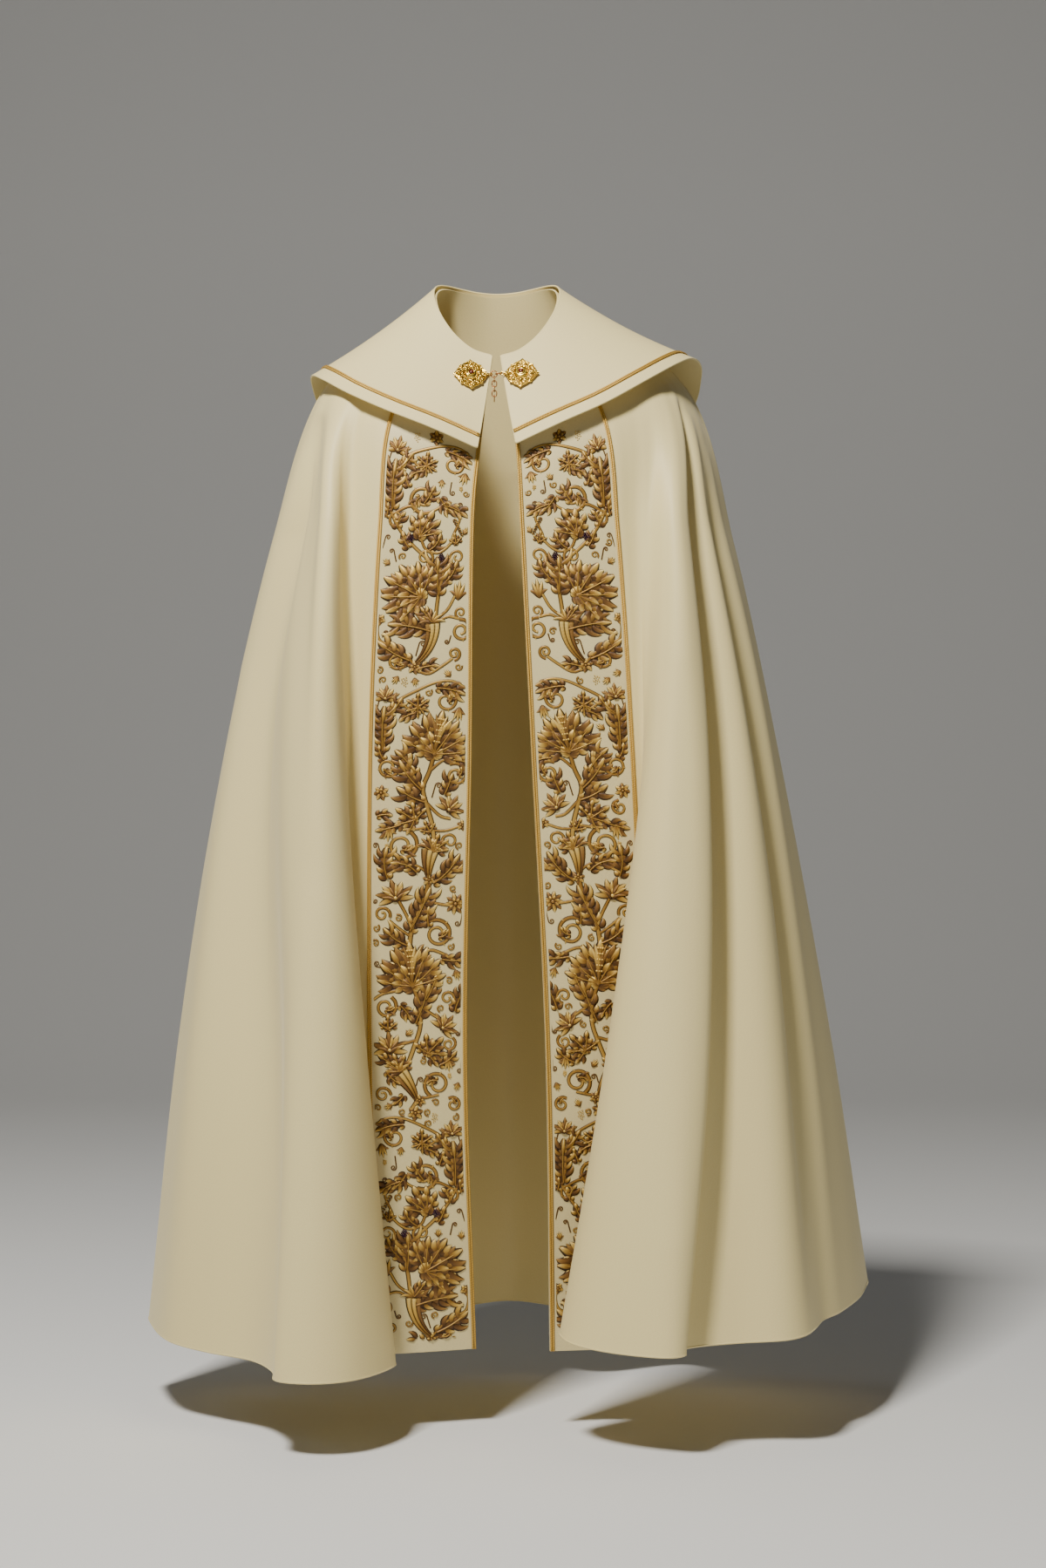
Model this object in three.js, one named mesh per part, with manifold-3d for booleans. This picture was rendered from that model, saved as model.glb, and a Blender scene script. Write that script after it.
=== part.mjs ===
// A liturgical cope, worn: an open, floor-length cloak of cream cloth with two embroidered front bands
// (orphreys), a wide shoulder collar and a hook-and-chain clasp.
// Millimetres, +Z up, the front faces -Y, +X is the wearer's left. The origin is the middle of the neckline,
// where the wearer's neck and shoulders hold the garment.
import * as THREE from "three";
import { mergeVertices } from "three/addons/utils/BufferGeometryUtils.js";
import Module from "manifold-3d";

const wasm = await Module();
wasm.setup();

// ---------- driving sizes ----------
const SEAM = 0.3; // air between layers that are sewn together
const BODY_WALL = 2;
const ORPHREY_WALL = 1.2;
const BRAID_WALL = 1.4;
const COLLAR_WALL = 2.2;
const BRAID_WIDTH = 6;
const ORPHREY_TOP = 0.68; // where the front bands start, in levels of the cloth: 0 neckline, 1 shoulder ring
const COLLAR_MARGIN = 18; // collar edge to its braid
const ROSETTE_RADIUS = 24.5;
const ROSETTE_WALL = 3;
const BOSS = 4; // the rosette's boss stands this much proud of its plate
const WIRE = 1.6; // diameter of the chain's wire
const LINK = { length: 10.2, width: 8 };
const RING = { length: 10.4, width: 10.4 };
const EYE = { length: 7.1, width: 6.4 };
const EYE_REACH = 4; // rosette's tip to the middle of its eye's outer wire
const TAIL_LINKS = 5;

// ---------- curves ----------
// A smooth curve through points at the given knots: cubic Hermite with chord tangents.
function along(knots, points, t) {
  const last = knots.length - 1;
  let i = 0;
  while (i < last - 1 && t > knots[i + 1]) i++;
  const slope = (k) => {
    const a = Math.max(0, k - 1);
    const b = Math.min(last, k + 1);
    return points[b].clone().sub(points[a]).divideScalar(knots[b] - knots[a]);
  };
  const span = knots[i + 1] - knots[i];
  const f = (t - knots[i]) / span;
  const f2 = f * f;
  const f3 = f2 * f;
  return points[i]
    .clone()
    .multiplyScalar(2 * f3 - 3 * f2 + 1)
    .addScaledVector(slope(i), span * (f3 - 2 * f2 + f))
    .addScaledVector(points[i + 1], 3 * f2 - 2 * f3)
    .addScaledVector(slope(i + 1), span * (f3 - f2));
}

const point = ([x, y, z]) => new THREE.Vector3(x, y, z);

// The neckline: a tilted oval, low at the throat and high at the nape.
// The angle runs from the throat to the right arm.
function neckline(angle, halfWidth, halfDepth, drop) {
  return new THREE.Vector3(
    -halfWidth * Math.sin(angle),
    -halfDepth * Math.cos(angle),
    12 - drop - 54 * Math.cos(angle) - 22 * Math.cos(2 * angle),
  );
}

// ---------- the hanging cloth ----------
// Horizontal cuts of the cloth, as [x, y] or [x, y, z], in order: front edge, band, band's outer edge,
// valley, S-turn, front fold (inner edge, crest, flank), valley, side. Right and left are the wearer's.
const RIGHT_ARM = {
  shoulder: [
    [-20, -126, -188], [-80, -127, -168], [-140, -117, -146], [-166, -104, -135], [-177, -96, -130],
    [-187, -92, -126], [-197, -88, -122], [-206, -80, -118], [-213, -70, -114], [-219, -58, -110],
    [-224, -46, -107], [-228, -35, -104], [-232, -24, -102], [-234, -12, -100], [-236, 0, -99],
    [-237, 14, -98],
  ],
  chest: [
    [-29, -142], [-92, -143], [-156, -138], [-182, -127], [-195, -122], [-204, -134], [-209, -152],
    [-217, -163], [-228, -155], [-239, -131], [-251, -109], [-268, -92], [-280, -72], [-293, -42],
    [-303, -8], [-308, 30],
  ],
  hip: [
    [-32, -138], [-100, -141], [-169, -138], [-189, -128], [-196, -127], [-199, -148], [-199, -175],
    [-207, -204], [-226, -214], [-250, -202], [-277, -170], [-303, -126], [-326, -98], [-350, -58],
    [-368, -8], [-380, 50],
  ],
  knee: [
    [-39, -112], [-105, -118], [-171, -120], [-203, -116], [-212, -130], [-190, -147], [-171, -172],
    [-180, -216], [-206, -246], [-240, -250], [-275, -222], [-305, -165], [-335, -125], [-375, -75],
    [-415, -15], [-447, 75],
  ],
  hem: [
    [-28, -70, -1405], [-97, -93, -1405], [-164, -112, -1405], [-197, -110, -1407], [-207, -126, -1408],
    [-165, -134, -1409], [-133, -152, -1410], [-149, -208, -1410], [-188, -262, -1410],
    [-236, -281, -1410], [-284, -262, -1410], [-303, -206, -1410], [-335, -134, -1410],
    [-395, -72, -1410], [-452, -8, -1406], [-491, 95, -1400],
  ],
};
const LEFT_ARM = {
  shoulder: [
    [26, -126, -186], [85, -127, -166], [143, -117, -144], [165, -107, -135], [178, -100, -130],
    [188, -95, -126], [197, -90, -122], [206, -84, -118], [214, -77, -114], [222, -69, -111],
    [229, -59, -108], [236, -49, -105], [240, -39, -103], [245, -29, -101], [249, -19, -100],
    [253, -9, -99], [256, 0, -98], [258, 8, -97], [260, 16, -97], [262, 24, -98],
  ],
  chest: [
    [32, -142], [98, -143], [163, -137], [178, -132], [188, -130], [197, -130], [205, -133], [214, -140],
    [224, -149], [235, -154], [247, -151], [256, -139], [257, -116], [268, -96], [280, -78],
    [291, -60], [301, -41], [310, -21], [319, 3], [326, 32],
  ],
  hip: [
    [47, -139], [115, -140], [183, -134], [194, -132], [199, -136], [197, -144], [196, -153], [198, -167],
    [208, -190], [228, -208], [256, -208], [278, -190], [281, -162], [302, -140], [322, -116],
    [340, -88], [354, -62], [369, -34], [382, 5], [393, 60],
  ],
  knee: [
    [66, -120], [133, -112], [201, -106], [222, -108], [231, -122], [200, -138], [163, -146], [146, -166],
    [155, -206], [190, -243], [240, -259], [274, -242], [287, -208], [325, -185], [362, -158],
    [394, -112], [410, -72], [430, -40], [452, 15], [468, 85],
  ],
  hem: [
    [72, -88, -1405], [140, -76, -1405], [207, -68, -1403], [228, -72, -1400], [237, -88, -1396],
    [180, -112, -1385], [120, -132, -1372], [86, -160, -1366], [98, -206, -1372], [145, -252, -1375],
    [214, -284, -1376], [244, -276, -1375], [251, -243, -1373], [320, -217, -1370], [385, -206, -1367],
    [424, -172, -1361], [438, -115, -1358], [465, -73, -1355], [499, 5, -1350], [523, 111, -1345],
  ],
};
const BACK = {
  shoulder: { depth: 124, flute: 0, z: -172 },
  chest: { depth: 154, flute: 6, z: -300 },
  hip: { depth: 194, flute: 15, z: -600 },
  knee: { depth: 238, flute: 25, z: -1000 },
  hem: { depth: 272, flute: 33, z: -1408 },
};
// Crests and valleys across the back, as shares of its flute.
const FLUTES = [0.3, -0.9, 1, -0.7, 0.8, -1, 1.2, -1, 0.9, -0.7, 1.1, -1, 0.4];
const LEVELS = ["shoulder", "chest", "hip", "knee", "hem"];
const LEVEL_KNOTS = [0, 170, 330, 640, 1045, 1450]; // cloth length from the neckline to it and to each level

// The back of a section: half an oval between the two sides, with flutes.
function backOf(level, from, to) {
  const { depth, flute, z } = BACK[level];
  const middle = (from.x + to.x) / 2;
  const half = (to.x - from.x) / 2;
  return FLUTES.map((share, i) => {
    const s = (i + 1) / (FLUTES.length + 1);
    const angle = Math.PI * s;
    const side = from.y + (to.y - from.y) * s;
    const drop = Math.sin(angle) ** 0.85;
    const sideZ = from.z + (to.z - from.z) * s;
    const smooth = new THREE.Vector3(
      middle - half * Math.cos(angle),
      side + (depth - side) * drop,
      sideZ + (z - sideZ) * drop,
    );
    const away = new THREE.Vector3(-Math.cos(angle) * (depth - side), Math.sin(angle) * half, 0);
    return smooth.addScaledVector(away.normalize(), flute * share);
  });
}

function sectionOf(level) {
  const height = (p) => (p.length === 3 ? p : [...p, BACK[level].z]);
  const right = RIGHT_ARM[level].map(height).map(point);
  const left = LEFT_ARM[level].map(height).map(point).reverse();
  return [...right, ...backOf(level, right[right.length - 1], left[0]), ...left];
}

const sections = LEVELS.map(sectionOf);
const LAST = sections[0].length - 1; // fold lines are numbered 0 to LAST, front edge to front edge
const OUTER_RIGHT = 2; // fold line at the outer edge of the wearer's right band
const OUTER_LEFT = LAST - 2;

// The body's neckline points: straight up from the shoulder ring.
const throatGap = THREE.MathUtils.degToRad(4.5);
const neckRing = sections[0].map((p) => {
  const angle = Math.atan2(-p.x, -p.y);
  return neckline(angle - throatGap * Math.cos(angle) * Math.sign(angle), 83, 71, 5);
});
const rings = [neckRing, ...sections];

// Knots across the cloth: the mean spacing of the fold lines, softened so that tight turns stay round.
const foldKnots = [0];
for (let k = 1; k <= LAST; k++) {
  const spacing = sections.slice(1).map((ring) => Math.sqrt(ring[k].distanceTo(ring[k - 1])));
  foldKnots.push(foldKnots[k - 1] + spacing.reduce((a, b) => a + b) / spacing.length);
}

// A point of the body's middle surface: fold is 0 to LAST, down is 0 at the neckline, 1 at the shoulder ring
// and 5 at the hem.
function bodyPoint(fold, down) {
  const k = Math.min(Math.floor(fold), LAST - 1);
  const u = foldKnots[k] + (foldKnots[k + 1] - foldKnots[k]) * (fold - k);
  const d = Math.min(Math.floor(down), LEVEL_KNOTS.length - 2);
  const v = LEVEL_KNOTS[d] + (LEVEL_KNOTS[d + 1] - LEVEL_KNOTS[d]) * (down - d);
  return along(LEVEL_KNOTS, rings.map((ring) => along(foldKnots, ring, u)), v);
}

// The outward normal of a surface at a place, from two short steps.
function normalOf(surface, u, v, [u0, u1], [v0, v1]) {
  const h = 0.02;
  const du = surface(Math.min(u + h, u1), v).sub(surface(Math.max(u - h, u0), v));
  const dv = surface(u, Math.min(v + h, v1)).sub(surface(u, Math.max(v - h, v0)));
  return du.cross(dv).normalize();
}

// ---------- walls ----------
// A closed wall on a surface: its inner face is lifted off the surface by low and its outer face by high.
function wall(placeAt, columns, rows, low, high) {
  const positions = [];
  const triangles = [];
  const stride = rows.length;
  for (const lift of [high, low])
    for (const u of columns)
      for (const v of rows) {
        const { place, normal } = placeAt(u, v);
        positions.push(...place.addScaledVector(normal, lift).toArray());
      }
  const face = columns.length * stride;
  const quad = (a, b, c, d) => triangles.push(a, b, c, a, c, d);
  for (let i = 0; i < columns.length - 1; i++)
    for (let j = 0; j < stride - 1; j++) {
      const a = i * stride + j;
      quad(a, a + stride, a + stride + 1, a + 1);
      quad(face + a, face + a + 1, face + a + stride + 1, face + a + stride);
    }
  const end = (columns.length - 1) * stride;
  for (let j = 0; j < stride - 1; j++) {
    quad(j, j + 1, face + j + 1, face + j);
    quad(end + j + 1, end + j, face + end + j, face + end + j + 1);
  }
  for (let i = 0; i < columns.length - 1; i++) {
    const top = i * stride;
    const bottom = top + stride - 1;
    quad(top + stride, top, face + top, face + top + stride);
    quad(bottom, bottom + stride, face + bottom + stride, face + bottom);
  }
  const geometry = new THREE.BufferGeometry();
  geometry.setAttribute("position", new THREE.Float32BufferAttribute(positions, 3));
  geometry.setIndex(triangles);
  return geometry;
}

const onBody = (fold, down) => ({
  place: bodyPoint(fold, down),
  normal: normalOf(bodyPoint, fold, down, [0, LAST], [0, 5]),
});

function steps(from, to, count) {
  return Array.from({ length: count + 1 }, (_, i) => from + ((to - from) * i) / count);
}
const bandWidth = bodyPoint(0, 3).distanceTo(bodyPoint(2, 3));
const braidShare = (2 * BRAID_WIDTH) / bandWidth; // a braid's width in fold lines

// Columns of the body. Every band and braid edge is one, so that the layers on it share its facets.
function bandColumns(edge, outer, towards) {
  const braid = towards * braidShare;
  return [edge, edge + braid, edge + towards, outer - braid, outer];
}
const rightBand = bandColumns(0, OUTER_RIGHT, 1);
const leftBand = bandColumns(LAST, OUTER_LEFT, -1).reverse();
const turnStart = RIGHT_ARM.hem.length - 1;
const turnEnd = LAST - LEFT_ARM.hem.length + 1;
const between = [
  ...steps(OUTER_RIGHT, 9, 11).slice(1),
  ...steps(9, turnStart, 6).slice(1),
  ...steps(turnStart, turnEnd, 4 * (turnEnd - turnStart)).slice(1),
  ...steps(turnEnd, LAST - 13, 6).slice(1),
  ...steps(LAST - 13, OUTER_LEFT, 17).slice(1, -1),
];
const bodyColumns = [...rightBand, ...between, ...leftBand];
const bandRows = [ORPHREY_TOP, 1, 1.5, 2, 2.5, 3, 3.35, 3.7, 4, 4.33, 4.67, 5];
const bodyRows = [0, 0.3, ...bandRows];

// ---------- the collar ----------
// Its outer edge, from the wearer's right front corner round the back to the left front corner.
const COLLAR_EDGE = [
  [-25, -150, -196], [-85, -150, -169], [-147, -136, -143], [-198, -103, -117], [-236, -55, -92],
  [-254, 0, -80], [-257, 50, -88], [-246, 93, -120], [-206, 127, -188], [-142, 151, -250],
  [-72, 164, -288], [0, 168, -300], [74, 166, -290], [152, 154, -252], [226, 132, -186],
  [275, 103, -112], [285, 70, -72], [281, 34, -58], [267, -6, -57], [245, -50, -70], [205, -98, -97],
  [147, -135, -133], [86, -150, -162], [27, -150, -190],
].map(point);
const COLLAR_NECK = [
  4, 22, 40, 57, 73, 88, 102, 115, 130, 146, 163, 180,
  197, 214, 230, 244, 256, 268, 282, 297, 312, 326, 341, 356,
].map((degrees) => neckline(THREE.MathUtils.degToRad(degrees), 87, 75, 0));
const COLLAR_LAST = COLLAR_EDGE.length - 1;
const collarKnots = COLLAR_EDGE.map((_, i) => i);

// A point of the collar: around is 0 to COLLAR_LAST, out is 0 at the neck and 1 at the edge.
function collarPoint(around, out) {
  const neck = along(collarKnots, COLLAR_NECK, around);
  const edge = along(collarKnots, COLLAR_EDGE, around);
  const sag = 4 * Math.sin(Math.PI * out); // the cloth hangs a little under the straight line
  return neck.lerp(edge, out).add(new THREE.Vector3(0, 0, -sag));
}

// Rows of the collar run 0 to 3: neck, braid's inner edge, braid's outer edge, collar's edge. They keep the
// braid at its true distance from the edge, whatever the collar's length there.
const COLLAR_ROWS = [0, 0.22, 0.5, 0.78, 1, 2, 3];
function onCollar(around, row) {
  const length = collarPoint(around, 0).distanceTo(collarPoint(around, 1));
  const braidIn = 1 - (COLLAR_MARGIN + BRAID_WIDTH) / length;
  const braidOut = 1 - COLLAR_MARGIN / length;
  const whole = Math.min(Math.floor(row), 2);
  const marks = [0, braidIn, braidOut, 1];
  const out = THREE.MathUtils.lerp(marks[whole], marks[whole + 1], row - whole);
  return {
    place: collarPoint(around, out),
    normal: normalOf(collarPoint, around, out, [0, COLLAR_LAST], [0, 1]),
  };
}
const collarColumns = steps(0, COLLAR_LAST, 2 * COLLAR_LAST);

// ---------- the clasp ----------
// A rosette's outline: an ogee diamond, with four points and a hollow curve between each two.
function rosetteShape() {
  const shape = new THREE.Shape();
  const r = ROSETTE_RADIUS;
  for (let i = 0; i < 4; i++) {
    const turn = (Math.PI / 2) * i;
    const at = (radius, angle) => [radius * Math.cos(turn + angle), radius * Math.sin(turn + angle)];
    if (i === 0) shape.moveTo(...at(r, 0));
    shape.quadraticCurveTo(...at(r * 0.86, 0.2), ...at(r * 0.84, 0.42));
    shape.quadraticCurveTo(...at(r * 0.78, Math.PI / 4), ...at(r * 0.84, Math.PI / 2 - 0.42));
    shape.quadraticCurveTo(...at(r * 0.86, Math.PI / 2 - 0.2), ...at(r, Math.PI / 2));
  }
  return shape;
}

// A frame standing on the collar, lifted off it: local Z is its outward normal and local X is level.
function standOn(around, out, lift) {
  const place = collarPoint(around, out);
  const normal = normalOf(collarPoint, around, out, [0, COLLAR_LAST], [0, 1]);
  const level = new THREE.Vector3(0, 0, 1).cross(normal).normalize();
  const up = normal.clone().cross(level);
  const group = new THREE.Group();
  group.quaternion.setFromRotationMatrix(new THREE.Matrix4().makeBasis(level, up, normal));
  group.position.copy(place.addScaledVector(normal, lift));
  return group;
}

// A link of round wire in the local XY plane, long along Y, centred on the origin.
function linkGeometry({ length, width }) {
  const bend = (width - WIRE) / 2; // radius of the wire's centre line round each end
  const straight = (length - width) / 2;
  const arcSteps = 7;
  const ring = [];
  for (const end of [1, -1])
    for (let i = 0; i <= arcSteps; i++) {
      const angle = (Math.PI * i) / arcSteps;
      const x = end * bend * Math.cos(angle);
      const y = end * (straight + bend * Math.sin(angle));
      const repeated = straight === 0 && i === arcSteps; // a round ring's halves share their end points
      if (!repeated) ring.push([x, y]);
    }
  const sides = 8;
  const positions = [];
  const triangles = [];
  ring.forEach(([x, y], i) => {
    const [px, py] = ring[(i + ring.length - 1) % ring.length];
    const [qx, qy] = ring[(i + 1) % ring.length];
    const tangent = new THREE.Vector3(qx - px, qy - py, 0).normalize();
    const outward = new THREE.Vector3(tangent.y, -tangent.x, 0);
    const here = i * sides;
    const next = ((i + 1) % ring.length) * sides;
    for (let k = 0; k < sides; k++) {
      const angle = (2 * Math.PI * (k + 0.5)) / sides;
      const r = WIRE / 2;
      const out = r * Math.cos(angle);
      const m = (k + 1) % sides;
      positions.push(x + outward.x * out, y + outward.y * out, r * Math.sin(angle));
      triangles.push(here + k, next + k, next + m, here + k, next + m, here + m);
    }
  });
  const geometry = new THREE.BufferGeometry();
  geometry.setAttribute("position", new THREE.Float32BufferAttribute(positions, 3));
  geometry.setIndex(triangles);
  return geometry;
}

// ---------- booleans, for the pieces that are joined ----------
function solid(geometry, matrix = new THREE.Matrix4()) {
  const bare = geometry.clone().applyMatrix4(matrix);
  bare.deleteAttribute("normal");
  bare.deleteAttribute("uv");
  const merged = mergeVertices(bare, 1e-4);
  const vertProperties = merged.attributes.position.array;
  const triVerts = merged.index.array;
  return new wasm.Manifold(new wasm.Mesh({ numProp: 3, vertProperties, triVerts }));
}

function geometryOf(manifold) {
  const mesh = manifold.getMesh();
  const geometry = new THREE.BufferGeometry();
  geometry.setAttribute("position", new THREE.BufferAttribute(new Float32Array(mesh.vertProperties), 3));
  geometry.setIndex(new THREE.BufferAttribute(new Uint32Array(mesh.triVerts), 1));
  return geometry;
}

// ---------- materials ----------
const cream = new THREE.MeshStandardMaterial({ color: 0xe6dcc0, roughness: 0.6, metalness: 0 });
const satin = new THREE.MeshStandardMaterial({ color: 0xe9e0c8, roughness: 0.45, metalness: 0 });
const braid = new THREE.MeshStandardMaterial({ color: 0xd2a84e, roughness: 0.45, metalness: 0.4 });
const gilt = new THREE.MeshStandardMaterial({ color: 0xd9b545, roughness: 0.25, metalness: 1 });
const copper = new THREE.MeshStandardMaterial({ color: 0xb9834f, roughness: 0.35, metalness: 1 });
const stone = new THREE.MeshStandardMaterial({ color: 0x6b2a1c, roughness: 0.15, metalness: 0 });

const cope = new THREE.Group();
function add(name, geometry, material, parent = cope) {
  const mesh = new THREE.Mesh(geometry, material);
  mesh.name = name;
  parent.add(mesh);
  return mesh;
}

// ---------- the sewn pieces ----------
const bodyLift = BODY_WALL / 2;
const orphreyLow = bodyLift + SEAM;
const orphreyHigh = orphreyLow + ORPHREY_WALL;
const braidLow = orphreyHigh + SEAM;
const braidHigh = braidLow + BRAID_WALL;
add("body", wall(onBody, bodyColumns, bodyRows, -bodyLift, bodyLift), cream);
const bandEnds = (band) => [band.slice(0, 2), band.slice(-2)];
for (const [side, band] of [["right", rightBand], ["left", leftBand]]) {
  const [inner, outer] = side === "right" ? bandEnds(band) : bandEnds(band).reverse();
  add(`orphrey_${side}`, wall(onBody, band, bandRows, orphreyLow, orphreyHigh), satin);
  add(`braid_outer_${side}`, wall(onBody, outer, bandRows, braidLow, braidHigh), braid);
  add(`braid_edge_${side}`, wall(onBody, inner, bandRows, braidLow, braidHigh), braid);
}
const collarLift = COLLAR_WALL / 2;
add("collar", wall(onCollar, collarColumns, COLLAR_ROWS, -collarLift, collarLift), cream);
const collarBraidLow = collarLift + SEAM;
const collarBraid = wall(onCollar, collarColumns, [1, 2], collarBraidLow, collarBraidLow + BRAID_WALL);
add("collar_braid", collarBraid, braid);

// ---------- the clasp's pieces ----------
const HOOKED = WIRE + 0.5; // between the centre lines of two wires that hook through each other
const ROSETTE_LIFT = COLLAR_WALL / 2 + 2.2; // collar's middle to the back of the rosette's plate
const CLASP_DOWN = 0.27; // down the collar from the neck, as a share of its length
const CLASP_IN = 0.645; // in from the front edge, in collar columns
const centreLine = ({ length }) => length - WIRE;
const reach = centreLine(RING) + centreLine(LINK) - 3 * HOOKED; // between the two eyes' outer wires

// The outermost point of a rosette's eye, on its wire's centre line.
function eyeTip(stand, inward) {
  stand.updateMatrixWorld(true);
  return stand.localToWorld(new THREE.Vector3(inward * (ROSETTE_RADIUS + EYE_REACH), 0, ROSETTE_WALL / 2));
}

// The left rosette is moved along the collar until the chain just reaches it.
const standRight = standOn(CLASP_IN, CLASP_DOWN, ROSETTE_LIFT);
const tipRight = eyeTip(standRight, 1);
let near = 0.2;
let far = 1.2;
for (let i = 0; i < 30; i++) {
  const middle = (near + far) / 2;
  const stand = standOn(COLLAR_LAST - middle, CLASP_DOWN, ROSETTE_LIFT);
  const gap = eyeTip(stand, -1).distanceTo(tipRight);
  if (gap > reach) far = middle;
  else near = middle;
}
const standLeft = standOn(COLLAR_LAST - near, CLASP_DOWN, ROSETTE_LIFT);
const tipLeft = eyeTip(standLeft, -1);

function rosette(stand, side, inward) {
  const front = ROSETTE_WALL;
  const round = (top, bottom, height, z) =>
    new THREE.CylinderGeometry(top, bottom, height, 20).rotateX(Math.PI / 2).translate(0, 0, z);
  const sheet = { depth: ROSETTE_WALL, bevelEnabled: false, curveSegments: 5 };
  const plate = new THREE.ExtrudeGeometry(rosetteShape(), sheet);
  const boss = round(5, 9, BOSS, front + BOSS / 2 - 0.5);
  const cup = round(3.6, 3.6, BOSS, front + BOSS);
  const eye = linkGeometry(EYE).rotateZ(Math.PI / 2);
  if (side === "right") eye.rotateX(Math.PI / 2);
  eye.translate(inward * (ROSETTE_RADIUS + EYE_REACH - centreLine(EYE) / 2), 0, front / 2);
  const cast = solid(plate).add(solid(boss)).add(solid(eye)).subtract(solid(cup));
  cope.add(stand);
  add(`rosette_${side}`, geometryOf(cast), gilt, stand);
  const cabochon = new THREE.SphereGeometry(3.2, 14, 8).scale(1, 1, 0.6).translate(0, 0, front + BOSS + 0.3);
  add(`stone_${side}`, cabochon, stone, stand);
}
rosette(standRight, "right", 1);
rosette(standLeft, "left", -1);

// The ring hooks on the right eye and stands upright; a link runs level from it to the left eye.
const level = tipLeft.clone().sub(tipRight).normalize();
const depth = new THREE.Vector3(0, 0, 1).cross(level).normalize();
const upright = level.clone().cross(depth);
const ringCentre = tipRight.clone().addScaledVector(level, centreLine(RING) / 2 - HOOKED);
const ring = add("chain_ring", linkGeometry(RING), copper);
ring.quaternion.setFromRotationMatrix(new THREE.Matrix4().makeBasis(level, upright, depth.clone().negate()));
ring.position.copy(ringCentre);
const link = add("chain_link", linkGeometry(LINK), copper);
link.quaternion.setFromRotationMatrix(new THREE.Matrix4().makeBasis(depth.clone().negate(), level, upright));
link.position.copy(ringCentre).addScaledVector(level, centreLine(RING) / 2 - HOOKED + centreLine(LINK) / 2);

// The tail: links that hang plumb from the ring, each a quarter turn from the one above.
const hook = ringCentre.clone(); // moves down the tail: the middle of the wire that the next link hangs on
hook.addScaledVector(upright, -centreLine(RING) / 2);
export const tailHinges = [];
for (let i = 1; i <= TAIL_LINKS; i++) {
  tailHinges.push(hook.clone());
  const piece = add(`tail_link_${i}`, linkGeometry(LINK), copper);
  piece.rotation.set(Math.PI / 2, 0, i % 2 ? Math.PI / 2 : 0, "ZYX");
  piece.position.copy(hook).add(new THREE.Vector3(0, 0, HOOKED - centreLine(LINK) / 2));
  hook.z += HOOKED - centreLine(LINK);
}

export default cope;
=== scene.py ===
"""The looks of a worn liturgical cope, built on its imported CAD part.

+Z is up, the front faces -Y and +X is the wearer's left. The origin is the middle of the neckline.
Sizes are in millimetres until a mesh is made.
"""

import math

import bpy
import numpy as np
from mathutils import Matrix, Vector


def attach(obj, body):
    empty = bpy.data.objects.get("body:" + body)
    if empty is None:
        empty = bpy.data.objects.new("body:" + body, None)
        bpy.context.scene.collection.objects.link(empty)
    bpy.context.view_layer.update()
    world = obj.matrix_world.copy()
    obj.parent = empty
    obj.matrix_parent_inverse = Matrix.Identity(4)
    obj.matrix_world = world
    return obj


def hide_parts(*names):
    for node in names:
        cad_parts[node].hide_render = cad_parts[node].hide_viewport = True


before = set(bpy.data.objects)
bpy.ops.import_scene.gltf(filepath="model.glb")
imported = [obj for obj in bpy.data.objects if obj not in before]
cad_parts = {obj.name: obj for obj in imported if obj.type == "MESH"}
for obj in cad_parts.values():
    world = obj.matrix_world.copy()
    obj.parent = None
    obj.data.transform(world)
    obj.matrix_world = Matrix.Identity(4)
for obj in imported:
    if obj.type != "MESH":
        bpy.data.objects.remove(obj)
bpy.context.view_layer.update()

MM = 0.001
BODY_WALL = 2.0
ORPHREY_WALL = 1.2
SEAM = 0.3
ORPHREY_LOW = BODY_WALL / 2 + SEAM
ORPHREY_HIGH = ORPHREY_LOW + ORPHREY_WALL
BRAID_WIDTH = 6.0
CORD = 2.7  # diameter of one of a braid's two cords
CORD_OFFSET = CORD / 2 + 0.1  # a cord's middle from the braid's
CORD_LIFT = SEAM + CORD * 0.4  # a cord's middle above the cloth that it is sewn to
CORD_FLAT = 0.8  # a cord's height as a share of its width
ORPHREY_TOP = 0.68  # level of the bands' top edge
COLLAR_WALL = 2.2
COLLAR_MARGIN = 18.0  # collar edge to its braid
COLLAR_RIM = COLLAR_WALL / 2 + 0.25  # radius of its rolled edge
COLLAR_SAG = 4  # how far the collar hangs under a straight line from neck to edge
HEM_RIM = 1.6  # radius of the rolled hem
HEM_LIFT = 0.6  # its middle above the cloth's lower edge
UNEVENNESS = 0.8  # height of the slight waves in the hanging cloth
BODY_NECK = (83, 71, 5)  # half width, half depth and drop of the body's neckline
COLLAR_NECK = (87, 75, 0)
NECK_HEIGHT = 12  # the neckline's middle above the origin
NECK_TILT = 54  # how far the nape is above the neckline's middle, and the throat below it
NECK_SADDLE = 22  # how far the sides are above it, and the nape and the throat below it
NECK_GAP = 4.5  # degrees from the middle to each front edge
BACK_FULLNESS = 0.85  # under 1, the back is squarer than an ellipse
BODY_GRID = (330, 140)  # points across and down each cloth
BAND_GRID = (31, 360)
COLLAR_GRID = (300, 60)
BRAID_POINTS = 230  # along each braid on a band

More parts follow.
